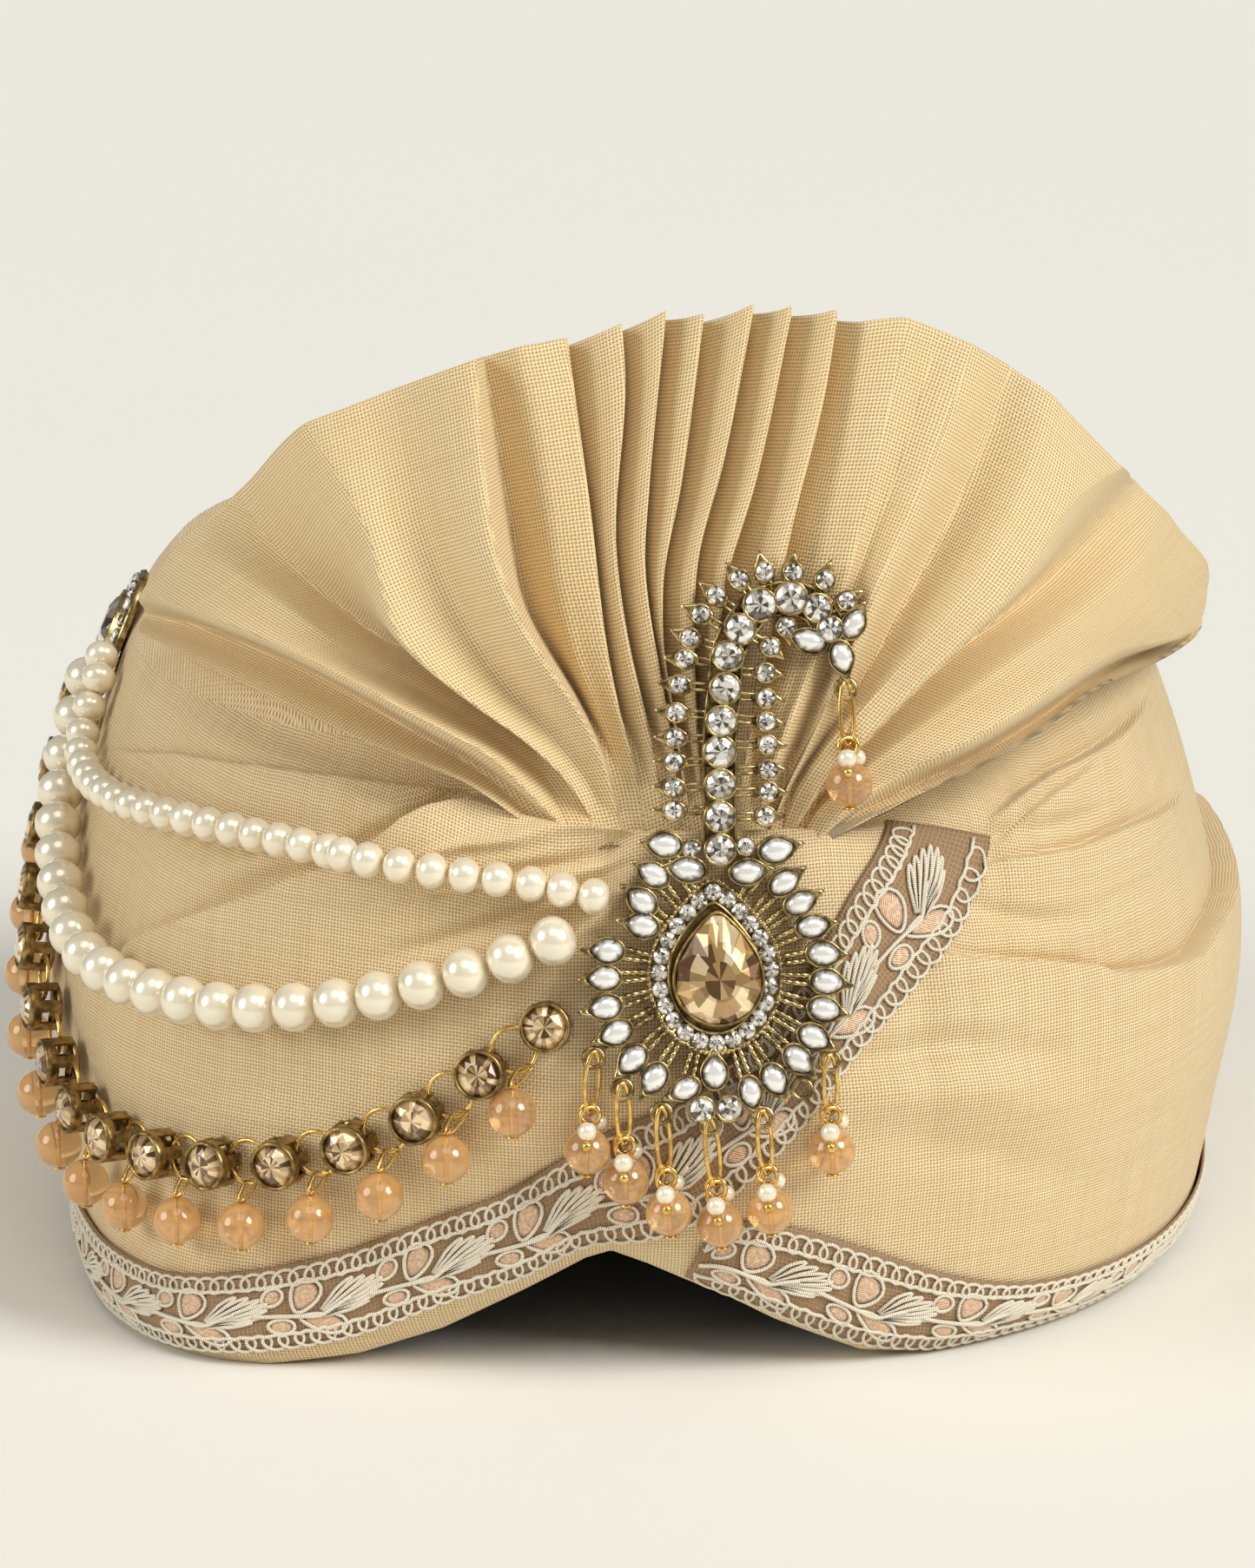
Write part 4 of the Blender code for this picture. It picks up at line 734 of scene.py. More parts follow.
def tubes(paths, normals, radius, sides=6, closed=False, look=0):
    """Round bars along many paths of the same count: each ring is the path's point plus the radius times
    the cosine of the turn crosswise and the sine of it along the normal. The UV is the length along and the
    turn."""
    paths = np.asarray(paths, float)
    if paths.ndim == 2:
        paths = paths[None]
    normals = np.broadcast_to(np.asarray(normals, float), paths.shape)
    if closed:
        step = np.roll(paths, -1, 1) - np.roll(paths, 1, 1)
    else:
        step = np.gradient(paths, axis=1)
    step = unit(step)
    side = unit(np.cross(normals, step))
    up = np.cross(step, side)
    turn = turns(sides)[:, None]
    ring = np.cos(turn) * side[:, :, None] + np.sin(turn) * up[:, :, None]
    radius = np.broadcast_to(np.asarray(radius, float), paths.shape[:2])
    points = paths[:, :, None] + ring * radius[:, :, None, None]
    copies, count = paths.shape[:2]
    faces, r, c = grid(count, sides, closed, True, copies)
    length = np.linalg.norm(np.diff(paths, axis=1, append=paths[:, :1]), axis=2)
    length = np.concatenate([np.zeros((copies, 1)), np.cumsum(length, 1)], 1)
    which = np.repeat(np.arange(copies), len(faces) // copies)[:, None]
    groups = [faces]
    uvs = [np.stack([length[which, r], c / sides], -1)]
    if not closed:
        first = np.arange(copies)[:, None] * count * sides + np.arange(sides)
        caps = np.concatenate([first[:, ::-1], first + (count - 1) * sides])
        groups.append(caps)
        uvs.append(np.zeros((len(caps), sides, 2)))
    return shape(points, groups, uvs, look)


def turned(rings, sides):
    """A solid of revolution about z: rings of radius and height. A ring of no radius at either end is a
    pole."""
    rings = np.asarray(rings, float)
    poles = [rings[0, 0] < 1e-9, rings[-1, 0] < 1e-9]
    body = rings[1 if poles[0] else 0:len(rings) - 1 if poles[1] else len(rings)]
    turn = turns(sides)
    points = np.stack([body[:, :1] * np.cos(turn), body[:, :1] * np.sin(turn), body[:, 1:] + 0 * turn], -1)
    points = points.reshape(-1, 3)
    faces, _, _ = grid(len(body), sides, False, True)
    groups = [faces]
    ends = []
    k = np.arange(sides)
    for at_end, pole in enumerate(poles):
        ring = k + (len(body) - 1) * sides * at_end
        if pole:
            tip = len(points) + len(ends)
            ends.append([0, 0, rings[-1 if at_end else 0, 1]])
            fan = np.stack([ring, np.roll(ring, -1), np.full(sides, tip)], 1)
            groups.append(fan if at_end else fan[:, ::-1])
        else:
            groups.append((ring if at_end else ring[::-1])[None])
    return np.concatenate([points, np.array(ends).reshape(-1, 3)]), groups


def repeat(form, centres, x_axis, y_axis, z_axis, smooth=True):
    """Copies of one small form: each is its centre plus the form's x, y and z along that copy's own axes."""
    points, faces = form
    centres = np.asarray(centres, float).reshape(-1, 3)
    axes = [np.broadcast_to(np.asarray(a, float), centres.shape) for a in (x_axis, y_axis, z_axis)]
    placed = centres[:, None] + sum(points[None, :, i, None] * axes[i][:, None] for i in range(3))
    step = np.arange(len(centres))[:, None, None] * len(points)
    groups = [(f[None] + step).reshape(-1, f.shape[1]) for f in faces]
    return shape(placed, groups, smooth=smooth)


def ball(radius, sides, rows, pinch=0.0):
    """A sphere, with an optional dimple at each pole: radius times sine and cosine of the angle from the
    pole."""
    turn = np.linspace(0, np.pi, rows + 1)
    height = np.cos(turn) * (1 - pinch * np.abs(np.cos(turn)) ** 12)
    across = np.sin(turn) * (np.abs(np.sin(turn)) > 1e-6)
    return turned(np.stack([radius * across, radius * height], 1)[::-1], sides)


def level_axes(out):
    """Two directions across each outward one: level, and up the slope."""
    side = unit(np.cross(np.array([0, 0, 1.0]), out))
    return side, np.cross(out, side)


# Materials
def join(tree, node, inputs):
    """Gives a node's inputs what they are said to be: another node's output, a number, a vector or a
    colour."""
    for key, value in inputs.items():
        socket = node.inputs[key]
        if isinstance(value, bpy.types.NodeSocket):
            tree.links.new(value, socket)
        else:
            socket.default_value = (*value, 1.0) if socket.type == "RGBA" else value


def add(tree, kind, inputs=None, **settings):
    node = tree.nodes.new("ShaderNode" + kind)
    for key, value in settings.items():
        setattr(node, key, value)
    join(tree, node, inputs or {})
    return node


def maths(tree, operation, *values):
    return add(tree, "Math", dict(enumerate(values)), operation=operation).outputs[0]


def vector(tree, operation, value, by):
    """A vector changed by a number with SCALE, and by another vector with any other operation."""
    key = "Scale" if operation == "SCALE" else 1
    return add(tree, "VectorMath", {0: value, key: by}, operation=operation).outputs[0]


def ranged(tree, value, low, high, start=0.0, end=1.0):
    """A value between low and high as one between start and end."""
    return add(tree, "MapRange", {0: value, 1: low, 2: high, 3: start, 4: end}).outputs[0]


def noise(tree, place, scale, detail, **more):
    return add(tree, "TexNoise", {"Vector": place, "Scale": scale, "Detail": detail, **more}).outputs[0]


def mixed(tree, factor, a, b):
    return add(tree, "Mix", {0: factor, 6: a, 7: b}, data_type="RGBA", clamp_factor=True).outputs[2]


def bumped(tree, height, distance, strength):
    return add(tree, "Bump", {"Height": height, "Distance": distance, "Strength": strength}).outputs[0]


def new_material(name, coordinates):
    """A material, its nodes, and the coordinates that its pattern is laid on."""
    made = bpy.data.materials.new(name)
    made.use_nodes = True
    return made, made.node_tree, add(made.node_tree, "TexCoord").outputs[coordinates]


def finished(made, inputs):
    """The material with its shader's inputs."""
    join(made.node_tree, made.node_tree.nodes["Principled BSDF"], inputs)
    return made


def new_group(name, inputs, outputs):
    """A node group with named inputs, each of a kind, and named number outputs."""
    group = bpy.data.node_groups.new(name, "ShaderNodeTree")
    for label, kind in inputs.items():
        group.interface.new_socket(label, in_out="INPUT", socket_type="NodeSocket" + kind)
    for label in outputs:
        group.interface.new_socket(label, in_out="OUTPUT", socket_type="NodeSocketFloat")
    return group, group.nodes.new("NodeGroupInput").outputs, group.nodes.new("NodeGroupOutput")


def weave_group():
    """Plain weave on metres of cloth: the threads' round tops, over and under each other, the holes between
    them and streaks along single threads."""
    inputs = {"Cloth": "Vector", "Pitch": "Float", "Openness": "Float"}
    group, given, result = new_group("plain_weave", inputs, ("Height", "Hole", "Streak"))
    wander = add(group, "TexNoise", {"Vector": given["Cloth"], "Scale": 90.0, "Detail": 1.0}).outputs["Color"]
    shift = vector(group, "SCALE", vector(group, "SUBTRACT", wander, (0.5, 0.5, 0.5)), 0.0006)
    cloth = vector(group, "ADD", given["Cloth"], shift)
    scaled = vector(group, "SCALE", cloth, maths(group, "DIVIDE", 1.0, given["Pitch"]))
    u, v, _ = add(group, "SeparateXYZ", {0: scaled}).outputs
    waves = [maths(group, "SINE", maths(group, "MULTIPLY", way, math.pi)) for way in (u, v)]
    across_u, across_v = (maths(group, "ABSOLUTE", wave) for wave in waves)
    square = maths(group, "ADD", maths(group, "FLOOR", u), maths(group, "FLOOR", v))
    under = maths(group, "MULTIPLY", maths(group, "PINGPONG", square, 1.0), 0.38)
    warp = maths(group, "MULTIPLY", across_u, maths(group, "ADD", 0.62, under))
    weft = maths(group, "MULTIPLY", across_v, maths(group, "SUBTRACT", 1.0, under))
    closed = maths(group, "MULTIPLY", given["Openness"], 0.9)
    widest = maths(group, "MAXIMUM", across_u, across_v)
    hole = ranged(group, widest, closed, maths(group, "MULTIPLY", given["Openness"], 0.45))
    warp_streak, weft_streak = (
        noise(group, vector(group, "MULTIPLY", cloth, stretch), 1.0, 2.0)
        for stretch in ((900.0, 22.0, 1.0), (26.0, 900.0, 1.0)))
    over = maths(group, "GREATER_THAN", weft, warp)
    streak = add(group, "Mix", {0: over, 2: warp_streak, 3: weft_streak}).outputs[0]
    join(group, result, {"Height": maths(group, "MAXIMUM", warp, weft), "Hole": hole, "Streak": streak})
    return group


def cloth_material(name, weave, light, dark, gap, pitch, openness, depth):
    """Woven cloth: thread colours that differ from thread to thread, painted shade in the gap colour on the
    threads' low sides and in the holes between them, bump from the weave and slubs."""
    made, tree, place = new_material(name, "UV")
    given = {"Cloth": place, "Pitch": pitch, "Openness": openness}
    woven = add(tree, "Group", given, node_tree=weave).outputs
    colour = mixed(tree, ranged(tree, woven["Streak"], 0.15, 0.80), dark, light)
    # Painted shade: the gap colour darkens the threads' low sides and fills the holes between them
    colour = mixed(tree, ranged(tree, woven["Height"], 0.32, 0.84, 0.80, 0.0), colour, gap)
    colour = mixed(tree, woven["Hole"], colour, gap)
    drift = ranged(tree, noise(tree, place, 18.0, 3.0), 0.3, 0.7, 0.0, 0.16)
    raised = maths(tree, "ADD", woven["Height"], maths(tree, "MULTIPLY", woven["Streak"], 0.5))
    return finished(made, {
        "Base Color": mixed(tree, drift, colour, dark), "Normal": bumped(tree, raised, depth, 0.9),
        "Roughness": ranged(tree, woven["Height"], 0.0, 1.0, 0.85, 0.62),
        "Sheen Weight": 0.35, "Sheen Roughness": 0.35, "Sheen Tint": (1.0, 0.94, 0.80)})


def net_material():
    """Fine six-sided net over the cloth: pale threads round darker cells, from cell edges of a Voronoi
    pattern."""
    made, tree, place = new_material("mauve_net", "UV")
    cells = add(tree, "TexVoronoi", {"Vector": place, "Scale": 1250.0, "Randomness": 0.25},
                feature="DISTANCE_TO_EDGE", voronoi_dimensions="2D")
    thread = ranged(tree, cells.outputs["Distance"], 0.05, 0.22, 1.0, 0.0)
    ground = mixed(tree, noise(tree, place, 60.0, 3.0), (0.22, 0.125, 0.055), (0.36, 0.22, 0.11))
    return finished(made, {
        "Base Color": mixed(tree, thread, ground, (0.43, 0.285, 0.16)),
        "Normal": bumped(tree, thread, 0.00015, 0.8), "Roughness": 0.7})


def cord_material(name, light, dark, metal):
    """Twisted metallic thread: slanting turns from the length along the cord plus the turn round it; the dark
    colour in the grooves between the turns is painted shade.
    """
    made, tree, place = new_material(name, "UV")
    length, turn, _ = add(tree, "SeparateXYZ", {0: place}).outputs
    twist = maths(tree, "ADD", maths(tree, "MULTIPLY", length, CORD_TWISTS), turn)
    wave = maths(tree, "SINE", maths(tree, "MULTIPLY", twist, 2 * math.pi))
    ply = ranged(tree, wave, -1.0, 0.4)
    return finished(made, {
        "Base Color": mixed(tree, ply, dark, light), "Normal": bumped(tree, ply, 0.00012, 0.9),
        "Metallic": metal, "Roughness": 0.38})


def satin_material():
    """Satin stitch: fine slanting threads of peach with painted shade in the gaps between them."""
    made, tree, place = new_material("peach_satin", "UV")
    across = add(tree, "SeparateXYZ", {0: place}).outputs[0]
    line = maths(tree, "SINE", maths(tree, "MULTIPLY", across, 2 * math.pi * 3000.0))
    value = maths(tree, "ADD", maths(tree, "MULTIPLY", line, 0.3), noise(tree, place, 1400.0, 1.0))
    # The dark colour is painted shade in the gaps between the threads
    colour = mixed(tree, ranged(tree, value, 0.25, 0.6), (0.34, 0.19, 0.10), (0.92, 0.64, 0.42))
    return finished(made, {
        "Base Color": colour, "Normal": bumped(tree, value, 0.0001, 0.8),
        "Roughness": 0.4, "Sheen Weight": 0.3})


def wear_group():
    """Tarnish of cast metal: a mask that is 1 in stained places and 0 on polished ones, and a fine height."""
    group, given, result = new_group("tarnish", {"Place": "Vector", "Size": "Float"}, ("Stain", "Height"))
    coarse = noise(group, given["Place"], given["Size"], 3.0, Roughness=0.6)
    fine = noise(group, given["Place"], 2600.0, 1.0)
    join(group, result, {"Stain": ranged(group, coarse, 0.42, 0.62), "Height": fine})
    return group


def metal_material(name, wear, bright, stained, rough, size, depth):
    """Cast metal, duller and rougher where it is stained."""
    made, tree, place = new_material(name, "Object")
    worn = add(tree, "Group", {"Place": place, "Size": size}, node_tree=wear).outputs
    return finished(made, {
        "Base Color": mixed(tree, worn["Stain"], bright, stained),
        "Roughness": ranged(tree, worn["Stain"], 0.0, 1.0, rough, rough + 0.16),
        "Normal": bumped(tree, worn["Height"], depth, 0.5), "Metallic": 1.0})


def pearl_material():
    """Cream pearl: cloudy tone under a clear glossy coat."""
    made, tree, place = new_material("cream_pearl", "Object")
    cloud = noise(tree, place, 160.0, 2.0)
    return finished(made, {
        "Base Color": mixed(tree, cloud, (0.88, 0.78, 0.57), (0.96, 0.89, 0.72)),
        "Roughness": ranged(tree, cloud, 0.0, 1.0, 0.20, 0.30), "Metallic": 0.30, "Specular IOR Level": 0.8,
        "Coat Weight": 0.8, "Coat Roughness": 0.06,
        "Sheen Weight": 0.25, "Sheen Roughness": 0.3, "Sheen Tint": (1.0, 0.86, 0.80)})


def bead_glass_material():
    """Peach glass with a faint cloudiness in its colour, under a clear coat."""
    made, tree, place = new_material("peach_glass", "Object")
    colour = mixed(tree, noise(tree, place, 220.0, 2.0), [c * 0.93 for c in BEAD_COLOUR], BEAD_COLOUR)
    return finished(made, {
        "Base Color": colour, "Roughness": 0.12, "IOR": 1.28, "Transmission Weight": 0.72,
        "Coat Weight": 1.0, "Coat Roughness": 0.02})


def painted_glints_group():
    """Painted reflections of a cut stone's facets: on the stone's own place, rings split into wedges, each
    with a value of its own that picks a painted tone, so that no two stones look alike."""
    inputs = {"Place": "Vector", "Wedges": "Float", "Rings": "Float"}
    group, given, result = new_group("painted_facet_glints", inputs, ("Value",))
    moved = vector(group, "ADD", given["Place"], (2.0, 2.0, 0.0))
    quarter = vector(group, "MULTIPLY", moved, (0.25, 0.25, 0.0))
    which = add(group, "VectorMath", {0: quarter}, operation="FLOOR").outputs[0]
    local = vector(group, "SUBTRACT", given["Place"], vector(group, "SCALE", which, 4.0))
    across, along, _ = add(group, "SeparateXYZ", {0: local}).outputs
    far = add(group, "VectorMath", {0: local}, operation="LENGTH").outputs["Value"]
    turn = maths(group, "DIVIDE", maths(group, "ARCTAN2", along, across), 2 * math.pi)
    ring = maths(group, "FLOOR", maths(group, "MULTIPLY", far, given["Rings"]))
    wedge = maths(group, "MULTIPLY_ADD", turn, given["Wedges"], maths(group, "MULTIPLY", ring, 0.5))
    number = add(group, "SeparateXYZ", {0: which}).outputs[0]
    key = add(group, "CombineXYZ", {0: maths(group, "FLOOR", wedge), 1: ring, 2: number}).outputs[0]
    value = add(group, "TexWhiteNoise", {"Vector": key}, noise_dimensions="3D").outputs["Value"]
    join(group, result, {"Value": value})
    return group


def stone_material(name, facets, dark, middle, bright, shares, wedges, rings, metal):
    """Cut stone, opaque: three tones that change from facet to facet under a clear coat, as painted
    reflections and glints of its facets.
    """
    made, tree, place = new_material(name, "UV")
    cut = add(tree, "Group", {"Place": place, "Wedges": wedges, "Rings": rings}, node_tree=facets).outputs[0]
    low, high = (ranged(tree, cut, share - 0.08, share + 0.08) for share in shares)
    colour = mixed(tree, high, mixed(tree, low, dark, middle), bright)
    return finished(made, {
        "Base Color": colour, "Metallic": metal, "Roughness": 0.14,
        "Coat Weight": 1.0, "Coat Roughness": 0.03})


def cabochon_material():
    """Foiled glass cabochon: pale with cloudy streaks, and painted shade that darkens it towards the rim; the
    UV's v is the share from the middle."""
    made, tree, place = new_material("grey_cabochon", "Object")
    cloud = maths(tree, "SUBTRACT", noise(tree, place, 420.0, 2.0, Distortion=1.5), 0.5)
    share = add(tree, "SeparateXYZ", {0: add(tree, "TexCoord").outputs["UV"]}).outputs[1]
    streaks_and_painted_rim_shade = ranged(tree, maths(tree, "MULTIPLY_ADD", cloud, 0.9, share), 0.50, 0.84)
    return finished(made, {
        # The dark colour is painted shade towards the rim, mixed with the cloudy streaks
        "Base Color": mixed(tree, streaks_and_painted_rim_shade, (0.95, 0.93, 0.89), (0.16, 0.145, 0.12)), "Metallic": 0.40,
        "Roughness": 0.20, "Coat Weight": 1.0, "Coat Roughness": 0.03})


CORD_TWISTS = 2600.0
BEAD_COLOUR = (1.0, 0.66, 0.31)
weave = weave_group()
wear = wear_group()
facets = painted_glints_group()
# The third colour of each cloth is painted shade on the threads' low sides and in the weave's holes
body_cloth = cloth_material("wheat_cloth", weave, (1.0, 0.83, 0.53), (0.80, 0.58, 0.29), (0.27, 0.145, 0.042),
                            0.00062, 0.52, 0.00018)
fan_cloth = cloth_material("wheat_cloth_open", weave, (1.0, 0.82, 0.50), (0.86, 0.64, 0.32),
                           (0.28, 0.15, 0.05), 0.00066, 0.60, 0.00018)
# The inner cloth is nearly black: painted shade of the enclosed head hollow
inner_cloth_painted_shade = cloth_material("inner_cloth_painted_shade", weave, (0.10, 0.06, 0.03), (0.07, 0.045, 0.022),
                             (0.03, 0.02, 0.01), 0.00066, 0.5, 0.00014)
net = net_material()
# The cord's second colour is painted shade in the grooves of its twist
cord = cord_material("silver_cord", (1.0, 0.95, 0.80), (0.66, 0.54, 0.38), 0.10)
satin = satin_material()
gold = metal_material("antique_gold", wear, (0.60, 0.46, 0.21), (0.15, 0.10, 0.04), 0.22, 420.0, 0.00004)
bright_gold = metal_material("bright_gold", wear, (0.90, 0.62, 0.20), (0.62, 0.38, 0.10), 0.18, 600.0,
                             0.00002)
brass = metal_material("antique_brass", wear, (0.42, 0.29, 0.11), (0.15, 0.10, 0.04), 0.28, 500.0, 0.00005)
pearl = pearl_material()
# Each stone's dark, middle and bright tones are painted reflections and glints of its facets
clear_stone = stone_material("clear_stone", facets, (0.10, 0.085, 0.06), (0.50, 0.46, 0.39),
                             (0.97, 0.94, 0.88), (0.26, 0.58), 16.0, 2.1, 0.45)
champagne_stone = stone_material("champagne_stone", facets, (0.12, 0.06, 0.02), (0.52, 0.33, 0.15),
                                 (0.92, 0.70, 0.42), (0.30, 0.62), 20.0, 2.1, 0.40)
centre_glass = stone_material("champagne_pear", facets, (0.14, 0.07, 0.025), (0.50, 0.31, 0.12),
                              (0.95, 0.76, 0.46), (0.34, 0.70), 12.0, 2.9, 0.45)
smoky_stone = stone_material("smoky_stone", facets, (0.05, 0.04, 0.03), (0.30, 0.25, 0.19),
                             (0.85, 0.80, 0.70), (0.40, 0.75), 16.0, 3.2, 0.5)
cabochon_grey = cabochon_material()
peach_glass = bead_glass_material()


# Body of wound cloth
BODY_ROWS = np.concatenate(
    [np.linspace(0, 0.32, 30)[:-1], np.linspace(0.32, 0.66, 112)[:-1], np.linspace(0.66, 0.985, 26)])
BODY_ANGLES = np.concatenate([np.linspace(-106, 106, 461)[:-1], np.linspace(106, 254, 71)[:-1]])
# The crown's part of the wall has its UV from above, from this row on
CROWN_ROW = 142
CROWN_STRETCH = 1.02
# The head's hollow: share of the height from the rim to its top, and share of the half sizes
HEAD = ((0.0, 1.0), (0.20, 1.0), (0.40, 1.0), (0.55, 0.99), (0.72, 0.92), (0.86, 0.78), (0.94, 0.56),
        (0.985, 0.28))


def make_body():
    """The cloth's face from the rim to the crown, the underside, and the head's hollow, closed over the
    crown. Its UV is metres of cloth: the length round the body at its widest, and the length up the wall,
    or x and y on the crown."""
    angle, row = np.meshgrid(BODY_ANGLES, BODY_ROWS)
    start = rim_t(angle)
    t = start + (1 - start) * row
    leaning = smooth_body(angle, t + fold_lean(angle, t)) - smooth_body(angle, t)
    outer = cloth_point(angle, t) + leaning
    columns = len(BODY_ANGLES)
    s, c, r = superellipse(BODY_ANGLES)
    rim_height = outer[0, :, 2]
    share, reach = np.transpose(HEAD)[:, :, None]
    height = rim_height + (HEAD_HEIGHT - rim_height) * share
    inner = np.stack([HEAD_HALF_WIDTH * reach * r * s, -HEAD_HALF_DEPTH * reach * r * c, height], -1)
    under = outer[0] + (inner[0] - outer[0]) * np.array([0.06, 0.35, 0.7])[:, None, None]
    under[..., 2] = np.maximum(under[..., 2] - 0.0004, 0.0)
    sheet = np.concatenate([inner[::-1], under[::-1], outer])
    rows = len(sheet)
    faces, fr, fc = grid(rows, columns, False, True)
    points = np.concatenate([sheet.reshape(-1, 3), [[0, 0, HEAD_HEIGHT], [0, 0, CROWN_HEIGHT]]])
    k = np.arange(columns)
    last = (rows - 1) * columns
    bottom = np.stack([np.roll(k, -1), k, np.full(columns, rows * columns)], 1)
    top = np.stack([last + k, last + np.roll(k, -1), np.full(columns, rows * columns + 1)], 1)
    round_at = np.append(BODY_ANGLES, BODY_ANGLES[0] + 360.0)
    along = length_along(smooth_body(round_at, np.full(len(round_at), 0.35)))
    wall = np.linalg.norm(np.diff(sheet, axis=0, prepend=sheet[:1]), axis=2).cumsum(0)
    rim = len(inner) + len(under)
    wall = wall - wall[rim] + start[0] * WALL_LENGTH
    uv = np.stack([along[fc], wall[fr, fc % columns]], -1)
    crown = (fr.mean(1) - rim > CROWN_ROW)[:, None, None]
    uv = np.where(crown, sheet[fr, fc % columns, :2] * CROWN_STRETCH, uv)
    inside = fr.mean(1) < len(inner) + 1
    groups = [faces[~inside], faces[inside], bottom, top]
    uvs = [uv[~inside], uv[inside], np.zeros((columns, 3, 2)), points[top][..., :2] * CROWN_STRETCH]
    made = make_piece("turban_body_cloth", [shape(points, groups, uvs)], [body_cloth, inner_cloth_painted_shade],
                      ["turban_body"])
    # The hollow's wall and its ceiling take the nearly black inner cloth, painted shade
    dark = np.repeat([0, 1, 1, 0], [len(group) for group in groups]).astype(np.int32)
    made.data.polygons.foreach_set("material_index", dark)


# Fan of pleated doubled cloth
FAN_COLUMNS = 900
PANEL_SHIFT = 0.031


def fan_point(x, z, lift):
    """The fan's face over millimetres right of and above the knot: leaning back from the knot, swept back
    to the sides by a power of the distance, kept clear of the body, and lifted out by the fold's height."""
    far = np.where(x < 0, FAN_REACH_LEFT, FAN_REACH_RIGHT)
    y = KNOT[1] + z * MM * FAN_LEAN + FAN_SWEEP * (np.abs(x) * MM / far) ** FAN_SWEEP_POWER
    points = clear_of_body(np.stack([KNOT[0] + x * MM, y, KNOT[2] + z * MM], -1), FAN_GAP)
    away = unit(points[..., :2] / np.array([HALF_WIDTH**2, HALF_DEPTH**2]))
    points[..., :2] = points[..., :2] + away * (lift * MM)[..., None]
    return points, away


def blurred(values, weights):
    """Each column's value averaged with its neighbours by a bell of weights, which rounds the folds."""
    reach = len(weights) // 2
    at = np.arange(values.shape[-1])[:, None] + np.arange(-reach, reach + 1)
    return (values[..., np.clip(at, 0, values.shape[-1] - 1)] * weights).sum(-1) / weights.sum()


def fan_line(line, v):
    """A fold's line as millimetres right of and above the knot and out, at shares of its length from the
    foot."""
    line = np.array(line, float)[::-1]

    def lifted(at):
        return fan_point(at[..., 0], at[..., 1], line[:, 2, None] + 0 * at[..., 0])[0]

    place = place_seen(line[:, :2], lifted, (-112.0, -10.0), (92.0, 112.0))
    length = length_along(place)
    return np.stack([curve_through(length / length[-1], values, v) for values in (*place.T, line[:, 2])])


def fan_columns(count):
    """Lines between the fan's fold lines, at even steps across its middle: straight from line to line, with
    the lift eased so that ridges are round, then blurred. Also the fold that each column belongs to."""
    v = np.linspace(0, 1, 64) ** 0.92
    fine, starts, rounded = [], [], []
    for name, *line in FAN_LINES:
        if not name.startswith("panel"):
            starts.append(len(fine))
        fine.append(fan_line(line, v))
        if name.startswith("pleat"):
            under = np.array(line, float)
            share = np.linspace(0, 1, len(under))
            under[:, 0] -= np.interp(share, (0, 1), UNDER_LEFT)
            under[:, 1] += np.interp(share, (0.0, 0.3), UNDER_DOWN)
            under[:, 2] = np.interp(share, (0, 1), UNDER_LIFT)
            starts.append(len(fine))
            rounded.append(len(fine))
            fine.append(fan_line(under, v))
    fine = np.array(fine)
    at = np.linspace(0, len(fine) - 1, 8001)

    def between(at):
        i = np.minimum(at.astype(int), len(fine) - 2)
        f = (at - i)[:, None, None]
        value = fine[i] + (fine[i + 1] - fine[i]) * f
        round_top = np.sin(f[:, 0] * np.pi / 2)
        share = np.where(np.isin(i, rounded)[:, None], round_top, 0.3 * f[:, 0] + 0.7 * ease(f[:, 0]))
        value[:, 2] = fine[i, 2] + (fine[i + 1, 2] - fine[i, 2]) * share
        return value

    path = between(at)[:, :, [36, 63]]
    length = np.concatenate([[0], np.cumsum(np.linalg.norm(np.diff(path, axis=0), axis=1).sum(-1))])
    place = np.interp(np.linspace(0, length[-1], count), length, at)
    bell = np.exp(-0.5 * (np.arange(-4, 5) / 1.6) ** 2)
    group = np.searchsorted(starts, np.minimum(place, len(fine) - 1.001), side="right") - 1
    return blurred(between(place).transpose(1, 2, 0), bell), group


def make_fan():
    """The fan's face and back, joined by a half round at the rim. Its UV is metres of cloth on each panel
    between two folds: the distance across from the panel's middle column, and the distance up along that
    column."""
    (x, z, lift), group = fan_columns(FAN_COLUMNS)
    front, away = fan_point(x, z, lift)
    front = clear_of_body(front, FAN_THICK + 0.0003)
    back = front.copy()
    back[..., :2] = back[..., :2] - away * FAN_THICK
    tip = unit(front[-1] - front[-4])
    half = (front[-1] - back[-1]) / 2
    turn = np.radians([30.0, 60.0, 90.0, 120.0, 150.0])[:, None, None]
    lip = (front[-1] + back[-1]) / 2 + half * np.cos(turn) + tip * np.sin(turn) * FAN_THICK * 0.7
    keep = np.arange(len(front) - 1, -1, -3)
    sheet = np.concatenate([front, lip, back[keep]])
    faces, fr, fc = grid(len(sheet), FAN_COLUMNS)
    across = np.linalg.norm(np.diff(sheet, axis=1, prepend=sheet[:, :1]), axis=2).cumsum(1)
    up = np.linalg.norm(np.diff(sheet, axis=0, prepend=sheet[:1]), axis=2).cumsum(0)
    own = group[np.minimum(fc[:, 0], FAN_COLUMNS - 2)]
    middles = [np.flatnonzero(group == g).mean() for g in range(group.max() + 1)]
    centre = np.array(middles).astype(int)[own][:, None]
    uv = np.stack([across[fr, fc] - across[fr, centre] + own[:, None] * PANEL_SHIFT, up[fr, centre]], -1)
    folded = shape(sheet, [faces], [uv], closed=False)
    made = make_piece("fan_cloth", [folded], [fan_cloth], ["fan"])
    close_edges(made)


